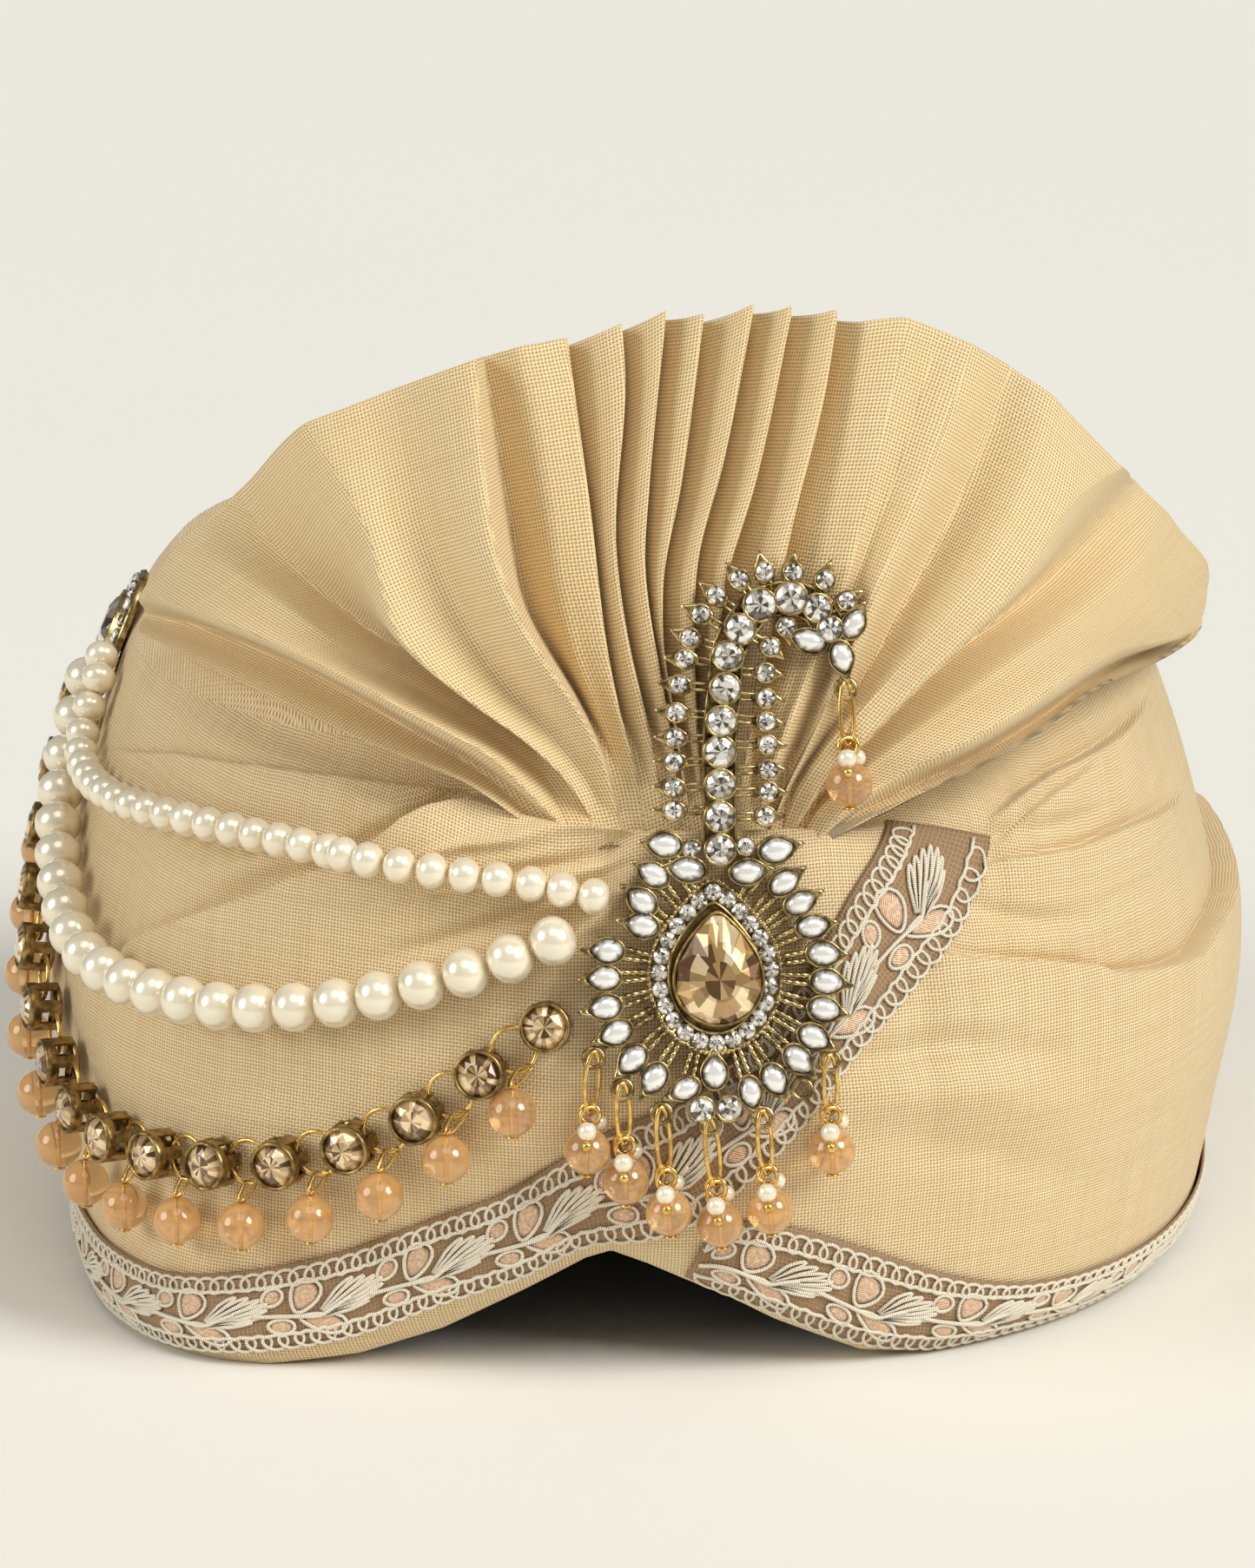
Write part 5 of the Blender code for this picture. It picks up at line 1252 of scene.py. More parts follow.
def close_edges(made):
    """Fills the open ends of a doubled sheet and turns its faces out."""
    work = bmesh.new()
    work.from_mesh(made.data)
    open_edges = [e for e in work.edges if e.is_boundary]
    bmesh.ops.holes_fill(work, edges=open_edges, sides=0)
    bmesh.ops.triangulate(work, faces=[f for f in work.faces if len(f.verts) > 4])
    bmesh.ops.recalc_face_normals(work, faces=work.faces)
    work.to_mesh(made.data)
    work.free()


# Lace
def band(rows, s, w, lift):
    """A place on a lace band and its normal: s metres along the band's middle, w metres across it from the
    middle. Also the band's length."""
    values = np.array(smooth_run(rows, 900))
    upper_angle, upper_t, lower_angle, lower_t = values
    length = length_along(on_body((lower_angle + upper_angle) / 2, (lower_t + upper_t) / 2))
    share = 0.5 + np.asarray(w) / LACE_WIDTH
    upper_angle, upper_t, lower_angle, lower_t = (np.interp(s, length, value) for value in values)
    angle = lower_angle + (upper_angle - lower_angle) * share
    t = lower_t + (upper_t - lower_t) * share
    t = np.maximum(t, rim_t(angle) + 0.004)
    return cloth_point(angle, t, lift), outward(angle, t), length[-1]


def lace_net(rows, total):
    """The net's strip with rounded edges: face, back and both edges in one closed ring of points, swept
    along."""
    half = 9
    ring = 2 * half
    count = int(total / 0.0012)
    s = np.linspace(0, total, count)
    w = np.concatenate([np.linspace(-0.5, 0.5, half), np.linspace(0.5, -0.5, half)]) * LACE_WIDTH
    lift = np.repeat([NET_LIFT + NET_THICK, NET_LIFT], half)
    ss, ww = np.meshgrid(s, w, indexing="ij")
    points, _, _ = band(rows, ss, ww, np.broadcast_to(lift, ww.shape))
    faces, fr, fc = grid(count, ring, False, True)
    uv = np.stack([s[fr], w[fc % ring]], -1)
    caps = np.stack([np.arange(ring)[::-1], (count - 1) * ring + np.arange(ring)])
    return shape(points, [faces, caps], [uv, np.zeros((2, ring, 2))])


def lace_cord(rows, s, w, lift, thick, closed=False):
    """A cord on the band, a lift above the cords' own one, and so many times as thick as the loops' cord."""
    path, normal, _ = band(rows, s, w, CORD_LIFT + lift)
    return tubes(path, normal, CORD_RADIUS * thick, 5, closed)


def lace_loops(rows, line, sign, total):
    """Edge loops: a spiral that runs along the band, the run less the radius times the sine of the turn,
    and the edge's line plus the radius times its cosine."""
    loops = int(total / LOOP_PITCH) - 1
    per = 14
    turn = np.arange(loops * per + 1) * 2 * np.pi / per
    s = LOOP_PITCH * (0.7 + turn / (2 * np.pi)) - LOOP_RADIUS * np.sin(turn)
    w = line - sign * LOOP_RADIUS * np.cos(turn) * 1.05
    return lace_cord(rows, s, w, 0.00012 * np.sin(turn), 1.0)


def lace_line(rows, w, total):
    """A cord that runs along the band beside the loops, in a slight wave."""
    s = np.linspace(0.0008, total - 0.0008, int(total / 0.0011))
    return lace_cord(rows, s, w + 0.00022 * np.sin(s * 2 * np.pi / LOOP_PITCH), 0.0001, 1.15)


def motif_copies(x, y, total):
    """The drawing's line laid on every repeat of the band."""
    copies = np.arange(int((total - MOTIF_FIRST - MOTIF_END) / MOTIF_PITCH) + 1) * MOTIF_PITCH + MOTIF_FIRST
    s = copies[:, None] + np.asarray(x) * MM
    return s, np.broadcast_to(np.asarray(y) * MM + DRAWING_MIDDLE, s.shape)


def lace_leaf(rows, total):
    """Ribbed leaf: a cord that runs out and back between its foot and its outline, once for each rib."""
    q = np.linspace(0, 1, LEAF_RIBS * 16 + 1)
    out = 0.08 + 0.92 * np.abs(np.sin(np.pi * LEAF_RIBS * q)) ** 0.34
    length, aside = (np.interp(q, np.linspace(0, 1, len(LEAF)), values) for values in np.transpose(LEAF))
    length, aside = out * length, out**0.6 * aside
    x = LEAF_FOOT[0] + length * np.cos(LEAF_TURN) - aside * np.sin(LEAF_TURN)
    y = LEAF_FOOT[1] + length * np.sin(LEAF_TURN) + aside * np.cos(LEAF_TURN)
    return lace_cord(rows, *motif_copies(x, y, total), 0.00018, 1.05)


def lobe_outline(lobe, share, turn):
    """A drop-shaped loop: an ellipse drawn in towards one end, turned to its direction."""
    x, y, half_length, half_width, direction, point = lobe
    a = half_length * share * np.cos(turn)
    b = half_width * share * np.sin(turn) * (1 + point * np.cos(turn))
    d = math.radians(direction)
    return x + a * math.cos(d) - b * math.sin(d), y + a * math.sin(d) + b * math.cos(d)


def lace_lobe(rows, lobe, total):
    return lace_cord(rows, *motif_copies(*lobe_outline(lobe, 1.0, turns(16)), total), 0.0001, 1.1, True)


def lace_satin(rows, lobe, total):
    """Satin stitch inside a lobe: a low dome, its height the root of one less the square of the share."""
    sides = 12
    share = np.array([0.86, 0.60, 0.25])[:, None]
    x, y = lobe_outline(lobe, share, turns(sides)[None])
    lift = NET_LIFT + NET_THICK + SATIN_HEIGHT * np.sqrt(1 - share**2) + 0 * x
    s, w = motif_copies(x.ravel(), y.ravel(), total)
    points, _, _ = band(rows, s, w, np.broadcast_to(lift.ravel(), s.shape))
    faces, _, _ = grid(len(share), sides, False, True, len(s))
    first = np.arange(len(s))[:, None] * len(share) * sides + np.arange(sides)
    last = first + (len(share) - 1) * sides
    d = math.radians(lobe[4] + STITCH_SLANT)
    uv = np.stack([s * math.cos(d) + w * math.sin(d), w * math.cos(d) - s * math.sin(d)], -1).reshape(-1, 2)
    groups = [faces, last, first[:, ::-1]]
    return shape(points, groups, [uv[g] for g in groups], look=1)


def lace_stalk(rows, total):
    return lace_cord(rows, *motif_copies(*smooth_run(STALK, 19), total), 0.0003, 1.2)


def make_lace(name, rows, node):
    """The band's net, and its cords and satin stitch: loops, the lines beside them, leaves, stalks and
    lobes."""
    _, _, total = band(rows, 0.0, 0.0, 0.0)
    strip = make_piece(name + "_net", [lace_net(rows, total)], [net], [node])
    shapes = [lace_loops(rows, LOOP_LINES[0], -1, total), lace_loops(rows, LOOP_LINES[1], 1, total)]
    shapes += [lace_line(rows, w, total) for w in (LOOP_LINES[0] + LINE_INSIDE, LOOP_LINES[1] - LINE_INSIDE)]
    shapes += [lace_leaf(rows, total), lace_stalk(rows, total)]
    shapes += [lace_lobe(rows, lobe, total) for lobe in LOBES]
    shapes += [lace_satin(rows, lobe, total) for lobe in LOBES]
    make_piece(name + "_cords", shapes, [cord, satin], ())


# Pearl strings
def make_pearls(name, rows, size, gap, node):
    """Pearls in a row over the cloth; where it folds, the string lies from crest to crest."""
    radius = size / 2
    angle, t = along_body(rows, radius + gap, size * PEARL_FLAT)
    folds = fold_out(angle, t)
    near = np.clip(np.arange(len(folds))[:, None] + np.arange(-2, 3), 0, len(folds) - 1)
    bridged = blurred(folds[near].max(1)[None], np.array([1.0, 2.0, 3.0, 2.0, 1.0]))[0]
    beads = on_body(angle, t, radius + gap + bridged - folds)
    step = unit(np.gradient(beads, axis=0))
    side = unit(np.cross(step, outward(angle, t)))
    flat = min(1.0, np.linalg.norm(np.diff(beads, axis=0), axis=1).mean() / size)
    pearls = repeat(ball(radius, 22, 14, 0.05), beads, side, np.cross(step, side), step * flat)
    make_piece(name + "_pearls", [pearls], [pearl], [node])


# Cut stones
def cut_stone():
    """A round cut stone of radius 1: an eight-sided table, star and crown facets to the girdle, and a flat
    back."""
    sides = 8
    turn = turns(sides)
    half = np.pi / sides
    rim = turns(2 * sides)
    table = np.stack([0.56 * np.cos(turn + half), 0.56 * np.sin(turn + half), np.full(sides, 0.40)], 1)
    crown = np.stack([0.82 * np.cos(turn), 0.82 * np.sin(turn), np.full(sides, 0.24)], 1)
    girdle = np.stack([np.cos(rim), np.sin(rim), np.zeros(2 * sides)], 1)
    back = girdle * 0.8 - np.array([0, 0, 0.4])
    k = np.arange(sides)
    nxt = (k + 1) % sides
    c0, g0, b0 = sides, 2 * sides, 4 * sides
    star = np.stack([(k - 1) % sides, c0 + k, k], 1)
    kite = np.stack([c0 + k, g0 + 2 * k + 1, c0 + nxt, k], 1)
    left = np.stack([c0 + k, g0 + 2 * k, g0 + 2 * k + 1], 1)
    right = np.stack([c0 + nxt, g0 + 2 * k + 1, g0 + 2 * nxt], 1)
    r = np.arange(2 * sides)
    wall = np.stack([g0 + np.roll(r, -1), g0 + r, b0 + r, b0 + np.roll(r, -1)], 1)
    faces = [np.concatenate([star, left, right]), kite, k[None], wall, b0 + r[None, ::-1]]
    return np.concatenate([table, crown, girdle, back]), faces


def stones(centres, radius, x_axis, y_axis, z_axis):
    """Copies of the cut stone, each with its own radius, facets flat. The UV is the place on the stone,
    from -1 to 1, plus 4 along u for each stone before it."""
    points, faces = cut_stone()
    centres = np.asarray(centres, float).reshape(-1, 3)
    radius = np.broadcast_to(np.asarray(radius, float), (len(centres),))[:, None]
    axes = [np.broadcast_to(np.asarray(a, float), centres.shape) * radius for a in (x_axis, y_axis, z_axis)]
    made = repeat((points, faces), centres, *axes, smooth=False)
    made["uvs"] = []
    for f in made["faces"]:
        before = (f // len(points))[..., None] * np.array([4.0, 0.0])
        made["uvs"].append(points[f % len(points), :2] + before)
    return made


# Stone chain
# A cup's bezel and floor: share of CUP_RADIUS, and metres out from its foot
BEZEL = ((0.86, 0.0046), (0.86, 0.0042), (0.95, 0.0041), (1.0, 0.0044), (1.0, 0.0055), (0.98, 0.0061),
         (0.90, 0.0063), (0.84, 0.0060), (0.86, 0.0046))
CUP_FLOOR = ((0.0, 0.0002), (0.86, 0.0), (0.92, 0.0004), (0.86, 0.0009), (0.0, 0.0009))
CUP_POSTS = 6
POST_TURN = 0.26
POST_SHARE = 0.93
POST_FROM, POST_TO = 0.0003, 0.0046
POST_WIDTH, POST_THICK = 0.0022, 0.0005
STONE_OUT = 0.0052
CHAIN_RING = 0.0040
CHAIN_WIRE = 0.00040
RING_OUT = 0.0022
BEAD_OUT = 0.0024
BEAD_FORWARD = 0.0028
BEAD_FALL = 0.0112
LINK_HALF_WIDTH = 0.001105
PIN_FOOT = ((0.0, -0.0003), (0.0009, -0.0002), (0.0012, 0.0002), (0.0006, 0.0005), (0.0, 0.0006))


def make_chain():
    """Cups with cut stones joined by rings, and beads that hang from the rings on links of wire."""
    angle, t = along_body(CHAIN, CUP_LIFT, CUP_PITCH)
    feet = on_body(angle, t, CUP_GAP)
    out = outward(angle, t)
    side, up = level_axes(out)
    bezel = turned([(share * CUP_RADIUS, height) for share, height in BEZEL], 28)
    floor = turned([(share * CUP_RADIUS, height) for share, height in CUP_FLOOR], 24)
    shapes = [repeat(bezel, feet, side, up, out), repeat(floor, feet, side, up, out)]
    turn = turns(CUP_POSTS, POST_TURN)[:, None]
    ways = np.cos(turn) * side[:, None] + np.sin(turn) * up[:, None]
    posts = feet[:, None] + CUP_RADIUS * POST_SHARE * ways
    posts = np.stack([posts + out[:, None] * POST_FROM, posts + out[:, None] * POST_TO], 2).reshape(-1, 2, 3)
    shapes.append(flat_bars(posts, ways.reshape(-1, 3), POST_WIDTH, POST_THICK))
    between = 0.5 * (feet[1:] + feet[:-1])
    out_between = 0.5 * (out[1:] + out[:-1])
    middles = between + out_between * RING_OUT
    ring_out = unit(out_between)
    ring_side = unit(feet[1:] - feet[:-1])
    ring_up = np.cross(ring_out, ring_side)
    spin = turns(24)[:, None]
    ring = np.cos(spin) * ring_side[:, None] + np.sin(spin) * ring_up[:, None]
    shapes.append(tubes(middles[:, None] + CHAIN_RING * ring, ring_out[:, None], CHAIN_WIRE, 6, True, 1))
    # Beads on all the rings but the last
    ring_out, ring_up = ring_out[:-1], ring_up[:-1]
    hang = middles[:-1] - ring_up * np.sign(ring_up[:, 2:]) * CHAIN_RING
    down = np.array([0.0, 0.0, -1.0])
    bead = between[:-1] + out_between[:-1] * BEAD_OUT + ring_out * BEAD_FORWARD + down * BEAD_FALL
    loop_side, _ = level_axes(ring_out)
    top = hang - down * 0.0007
    foot = bead - down * (BEAD_RADIUS + 0.0002)
    q = np.linspace(-1, 1, 15)[:, None]
    wide = LINK_HALF_WIDTH * np.sqrt(np.clip(1 - np.abs(q) ** 3, 0, 1)) * np.sign(q + 1e-9)
    fall = np.abs(q)
    links = top[:, None] * (1 - fall) + foot[:, None] * fall + loop_side[:, None] * wide
    shapes.append(tubes(links, ring_out[:, None], CHAIN_WIRE, 6, False, 1))
    make_piece("stone_chain_metal", shapes, [brass, bright_gold], ["stone_chain"])
    gems = stones(feet + out * STONE_OUT, 0.88 * CUP_RADIUS, side, up, out)
    make_piece("stone_chain_stones", [gems], [champagne_stone], ())
    beads = repeat(ball(BEAD_RADIUS, 36, 22), bead, loop_side, down, np.cross(loop_side, down))
    make_piece("stone_chain_beads", [beads], [peach_glass], ())
    half = down * (BEAD_RADIUS - 0.0004)
    feet_of_pins = turned(PIN_FOOT, 12)
    pins = [repeat(feet_of_pins, bead + down * BEAD_RADIUS, loop_side, np.cross(down, loop_side), down),
            tubes(np.stack([bead + half, bead - half], 1), np.array([1.0, 0.0, 0.0]), 0.00035)]
    make_piece("stone_chain_pins", pins, [bright_gold], ())


def flat_bars(lines, normals, width, thick):
    """Flat straight bars: a rectangle of width and thickness at each end of each line."""
    lines = np.asarray(lines, float)
    along = unit(lines[:, 1] - lines[:, 0])
    normals = np.broadcast_to(np.asarray(normals, float), along.shape)
    cross = unit(np.cross(along, normals)) * (width / 2)
    up = unit(np.cross(cross, along)) * (thick / 2)
    corners = np.stack([-cross - up, cross - up, cross + up, -cross + up], 1)
    points = lines[:, :, None] + corners[:, None]
    faces, _, _ = grid(2, 4, False, True, len(lines))
    first = np.arange(len(lines))[:, None] * 8 + np.arange(4)
    return shape(points, [faces, first[:, ::-1], first + 4], smooth=False)


# Front brooch
BROOCH_OUT = np.array([math.sin(BROOCH_TURN) * math.cos(BROOCH_LEAN),
                       -math.cos(BROOCH_TURN) * math.cos(BROOCH_LEAN), math.sin(BROOCH_LEAN)])
BROOCH_RIGHT = unit(np.cross((0, 0, 1.0), BROOCH_OUT))
BROOCH_UP = np.cross(BROOCH_OUT, BROOCH_RIGHT)
# Walls round the halo and the centre stone: millimetres outside the line, and millimetres out
HALO_WALL = ((1.9, 0.0), (2.1, 0.9), (2.0, 1.6), (1.6, 1.7), (1.35, 1.2), (-1.35, 1.2), (-1.5, 2.0),
             (-1.75, 2.1), (-2.0, 1.9), (-2.1, 0.0))
CENTRE_WALL = ((0.45, 0.4), (0.45, 2.7), (0.30, 3.2), (-0.10, 3.2), (-0.10, 0.4))
# Sections of a petal's setting, of its cabochon and of a small leaf: share of the outline, millimetres out,
# share of the tip
SETTING = ((0.80, 0.0, 0.0), (1.0, 0.2, 0.6), (1.05, 1.2, 1.0), (1.02, 2.0, 1.0), (0.93, 2.15, 0.6),
           (0.84, 1.9, 0.0), (0.84, 1.4, 0.0))
CABOCHON = ((0.86, 1.4, 0.0), (0.85, 1.9, 0.0), (0.77, 2.6, 0.0), (0.60, 3.1, 0.0), (0.36, 3.4, 0.0),
            (0.10, 3.5, 0.0))
SMALL_LEAF = ((0.80, 0.0, 0.4), (1.0, 0.3, 1.0), (1.0, 0.8, 1.0), (0.85, 1.0, 0.6), (0.4, 0.9, 0.0))
RING_PETALS = 23
STONE_CUP = ((0.0, 0.0), (0.80, 0.0), (1.02, 0.30), (1.13, 0.80), (1.13, 1.0), (1.0, 1.05), (0.90, 0.80),
             (0.0, 0.5))


def on_brooch(x, y, depth=0.0):
    """A place on the brooch's plane, from millimetres right, up and out of it."""
    x, y, depth = np.broadcast_arrays(np.asarray(x, float), np.asarray(y, float), np.asarray(depth, float))
    far = x[..., None] * BROOCH_RIGHT + y[..., None] * BROOCH_UP + depth[..., None] * BROOCH_OUT
    return np.array(BROOCH_AT) + far * MM


def crosswise(way):
    """Flat directions turned a quarter to the left."""
    return np.stack([-way[:, 1], way[:, 0]], 1)


def nearest(places, to):
    """The number of the place that is nearest to each point."""
    return np.argmin(np.linalg.norm(places[None] - to[:, None], axis=2), 1)


def pear(turn, width, below, above):
    """Pear outline: an ellipse below, drawn in by a share of the sine's square to a point above."""
    s = np.sin(turn)
    c = np.cos(turn)
    return width * c * np.where(s > 0, (1 - s**2 * 0.52), 1.0), np.where(s > 0, above * s, below * s)


def halo_line(turn, more=0.0):
    """The halo's line, or one that runs a number of millimetres outside it."""
    x, y = pear(turn, HALO_WIDTH + more, HALO_BELOW + more, HALO_ABOVE + more * 1.15)
    return x, y + HALO_WIDEST


def pear_wall(rows, line):
    """A closed wall round a pear: its cross-section is rows of millimetres outside the line, and depth in
    mm."""
    count = 72
    turn = turns(count, np.pi / 2)
    points = [on_brooch(*line(turn, more), depth) for more, depth in rows]
    faces, _, _ = grid(len(rows), count, True, True)
    return shape(np.array(points), [faces])


def even_pear(count, more=0.0):
    """Even places along the halo's line."""
    line = np.column_stack(halo_line(np.linspace(0, 2 * np.pi, 1441) + np.pi / 2, more))
    length = length_along(line)
    at = np.linspace(0, length[-1], count + 1)[:-1]
    return np.stack([np.interp(at, length, values) for values in line.T], 1)


def petal_outline(turn, length, width, tip):
    """A petal: an ellipse drawn in towards its outer end, with a tip that runs out where the cosine nears
    one."""
    x = length / 2 * np.cos(turn) + tip * np.clip(np.cos(turn), 0, 1) ** 14
    y = width / 2 * np.sin(turn) * (1 - 0.30 * np.clip(np.cos(turn), 0, 1) ** 2)
    return x, y


def petals(rows, sections, tip, count=28):
    """Closed shells on the petals' outlines, from the foot up and over. The UV is the turn and the share."""
    x0, y0, direction, length, width = np.transpose(rows)[:, :, None, None]
    share, depth, spike = np.transpose(sections)[:, None, :, None]
    x, y = petal_outline(turns(count)[None, None], length * share, width * share, tip * spike)
    d = np.radians(direction)
    points = on_brooch(x0 + x * np.cos(d) - y * np.sin(d), y0 + x * np.sin(d) + y * np.cos(d), depth)
    faces, fr, fc = grid(len(sections), count, False, True, len(rows))
    first = np.arange(len(rows))[:, None] * len(sections) * count + np.arange(count)
    last = first + (len(sections) - 1) * count
    ends = [np.broadcast_to([0.0, share[0, at, 0]], (*first.shape, 2)) for at in (0, -1)]
    uv = np.stack([fc / count, share[0, :, 0][fr]], -1)
    return shape(points, [faces, first[:, ::-1], last], [uv, *ends])


def stone_cups(spots, depth, height):
    """Round settings on spots of place and width in mm: a wall that opens a little to the rim, and its
    floor."""
    radius = spots[:, 2:] / 2 * MM
    centres = on_brooch(spots[:, 0], spots[:, 1], depth)
    cup = turned(STONE_CUP, 16)
    return repeat(cup, centres, BROOCH_RIGHT * radius, BROOCH_UP * radius, BROOCH_OUT * height)


def wire_rings(centres, u, v, half_u, half_v, wire):
    """Closed ovals of wire: the centre plus the half sizes times cosine and sine along two directions."""
    spin = turns(18)[None, :, None]
    centres = np.asarray(centres, float).reshape(-1, 1, 3)
    u = np.broadcast_to(u, (len(centres), 3))[:, None]
    v = np.broadcast_to(v, (len(centres), 3))[:, None]
    paths = centres + half_u * np.cos(spin) * u + half_v * np.sin(spin) * v
    return tubes(paths, np.cross(u, v), wire, 6, True)


def halo_plate():
    """The halo's flat floor."""
    count = 48
    line = halo_line(turns(count, np.pi / 2), -2.0)
    faces, _, _ = grid(2, count, False, True)
    rim = np.arange(count)[None]
    plate = np.stack([on_brooch(*line, 0.1), on_brooch(*line, 0.5)])
    return shape(plate, [faces, rim[:, ::-1], rim + count], look=1, smooth=False)


def spokes():
    """Two beaded wires from the halo to each petal of the ring."""
    petal = np.array(PETALS)[:RING_PETALS, :2]
    halo = even_pear(720)
    foot = halo[nearest(halo, petal * 0.72)]
    far = np.linalg.norm(petal - foot, axis=1)[:, None, None]
    way = (petal - foot) / far[:, 0]
    q = np.linspace(0, 1, 22)[None, :, None]
    lines = []
    for sign in (-1, 1):
        line = foot[:, None] + way[:, None] * (1.4 + (far - 2.4) * q)
        line = line + crosswise(way)[:, None] * sign * (0.55 + 0.35 * q)
        lines.append(on_brooch(line[..., 0], line[..., 1], 1.0 + 0.3 * q[..., 0]))
    lines = np.concatenate(lines)
    bumps = (0.50 + 0.13 * np.sin(np.linspace(0, 2 * np.pi * 5.5, 22))) * MM
    return tubes(lines, BROOCH_OUT, np.broadcast_to(bumps, lines.shape[:2]))


def brooch_bars(from_places, to_places, depths, width):
    """Flat bars between places on the brooch, from one depth to the other."""
    ends = [on_brooch(*places.T, depth) for places, depth in zip((from_places, to_places), depths)]
    return flat_bars(np.stack(ends, 1), BROOCH_OUT, width * MM, 0.9 * MM)


def make_brooch():
    """Halo, petals in a ring and beside the hook, spokes, stem and its stones, and the eyelets of the
    drops."""
    stem, outer, inner = np.array(STEM), np.array(OUTER_STONES), np.array(INNER_STONES)
    small = np.concatenate([outer, inner, np.array(LOOSE_STONES)])
    shapes = [pear_wall(HALO_WALL, halo_line), halo_plate()]
    rim_beads = on_brooch(*even_pear(84, 1.85).T, 1.7)
    shapes.append(repeat(ball(0.42 * MM, 8, 6), rim_beads, BROOCH_RIGHT, BROOCH_UP, BROOCH_OUT))
    shapes += [petals(PETALS, SETTING, 1.5), spokes(), *stem_bars(stem)]
    shapes += [stone_cups(stem, 0.4, 1.9 * MM), stone_cups(small, 0.2, 1.8 * MM)]
    leaves = []
    for row_of_stones, length, width in ((outer, 5.4, 3.6), (inner, 5.0, 3.4)):
        ways = outward_ways(row_of_stones, stem)
        leaves += [(x, y, way, length, width) for (x, y, _), way in zip(row_of_stones, ways)]
    shapes.append(petals(leaves, SMALL_LEAF, 1.2, 20))
    eyes = np.array([row[1:3] for row in DROPS] + [SPARE_EYELET])
    shapes.append(wire_rings(on_brooch(*eyes.T, 1.2), BROOCH_RIGHT, BROOCH_UP, 1.7 * MM, 1.7 * MM, 0.45 * MM))
    low_stones = small[-2:, :2]
    holders = np.concatenate([np.array(PETALS)[:, :2], low_stones])
    held = holders[nearest(holders, eyes)]
    shapes.append(brooch_bars(eyes + unit(held - eyes) * 1.4, held, (1.0, 0.8), 1.3))
    shapes.append(brooch_bars(low_stones, np.full((2, 2), STONES_JOIN), (0.6, 0.8), 1.4))
    make_piece("brooch_metal", shapes, [gold, brass], ["brooch_frame"])
    make_piece("brooch_cabochons", [petals(PETALS, CABOCHON, 0.0)], [cabochon_grey], ())
    halo = even_pear(HALO_STONES)
    places = np.concatenate([halo, stem[:, :2], small[:, :2]])
    counts = (len(halo), len(stem), len(small))
    half = np.concatenate([np.full(len(halo), 1.5), stem[:, 2] / 2, small[:, 2] / 2])
    centres = on_brooch(*places.T, np.repeat((1.7, 2.1, 1.8), counts))
    gems = stones(centres, half * MM, BROOCH_RIGHT, BROOCH_UP, BROOCH_OUT)
    make_piece("brooch_stones", [gems], [clear_stone], ())


def outward_ways(points, stem):
    """The direction, in degrees, from the nearest place of the stem's line to each stone beside it."""
    at = np.linspace(0, len(stem) - 1, 300)
    line = np.stack([np.interp(at, np.arange(len(stem)), stem[:, k]) for k in (0, 1)], 1)
    way = points[:, :2] - line[nearest(line, points[:, :2])]
    return np.degrees(np.arctan2(way[:, 1], way[:, 0]))


def stem_bars(stem):
    """Rails on both sides of the stem's line on a flat strip, and two rungs from it to each small stone."""
    line = np.stack(smooth_run(stem[:, :2], 120), 1)
    cross = crosswise(unit(np.gradient(line, axis=0)))
    rails = [on_brooch(*(line + cross * side).T, 0.9) for side in (-2.75, 2.75)]
    shapes = [tubes(np.array(rails), BROOCH_OUT, 0.36 * MM)]
    corners = ((-2.4, 0.1), (2.4, 0.1), (2.4, 0.5), (-2.4, 0.5))
    strip = np.stack([on_brooch(*(line + cross * side).T, depth) for side, depth in corners], 1)
    faces, _, _ = grid(len(line), 4, False, True)
    end = np.arange(4)[None]
    shapes.append(shape(strip, [faces, end[:, ::-1], (len(line) - 1) * 4 + end], look=1, smooth=False))
    beside = np.array(OUTER_STONES + INNER_STONES)[:, :2]
    near = line[nearest(line, beside)]
    up = crosswise(unit(near - beside))
    for shift in (-0.55, 0.55):
        rungs = [on_brooch(*(places + up * shift).T, 0.8) for places in (beside, near)]
        shapes.append(tubes(np.stack(rungs, 1), BROOCH_OUT, 0.30 * MM))
    return shapes


def centre_line(turn, more=0.0):
    """The centre stone's outline, or one that runs a number of millimetres outside it."""
    x, y = pear(turn, CENTRE_WIDTH + more, CENTRE_BELOW + more, CENTRE_ABOVE + more * 1.2)
    return x + CENTRE_PLACE[0], y + CENTRE_PLACE[1]


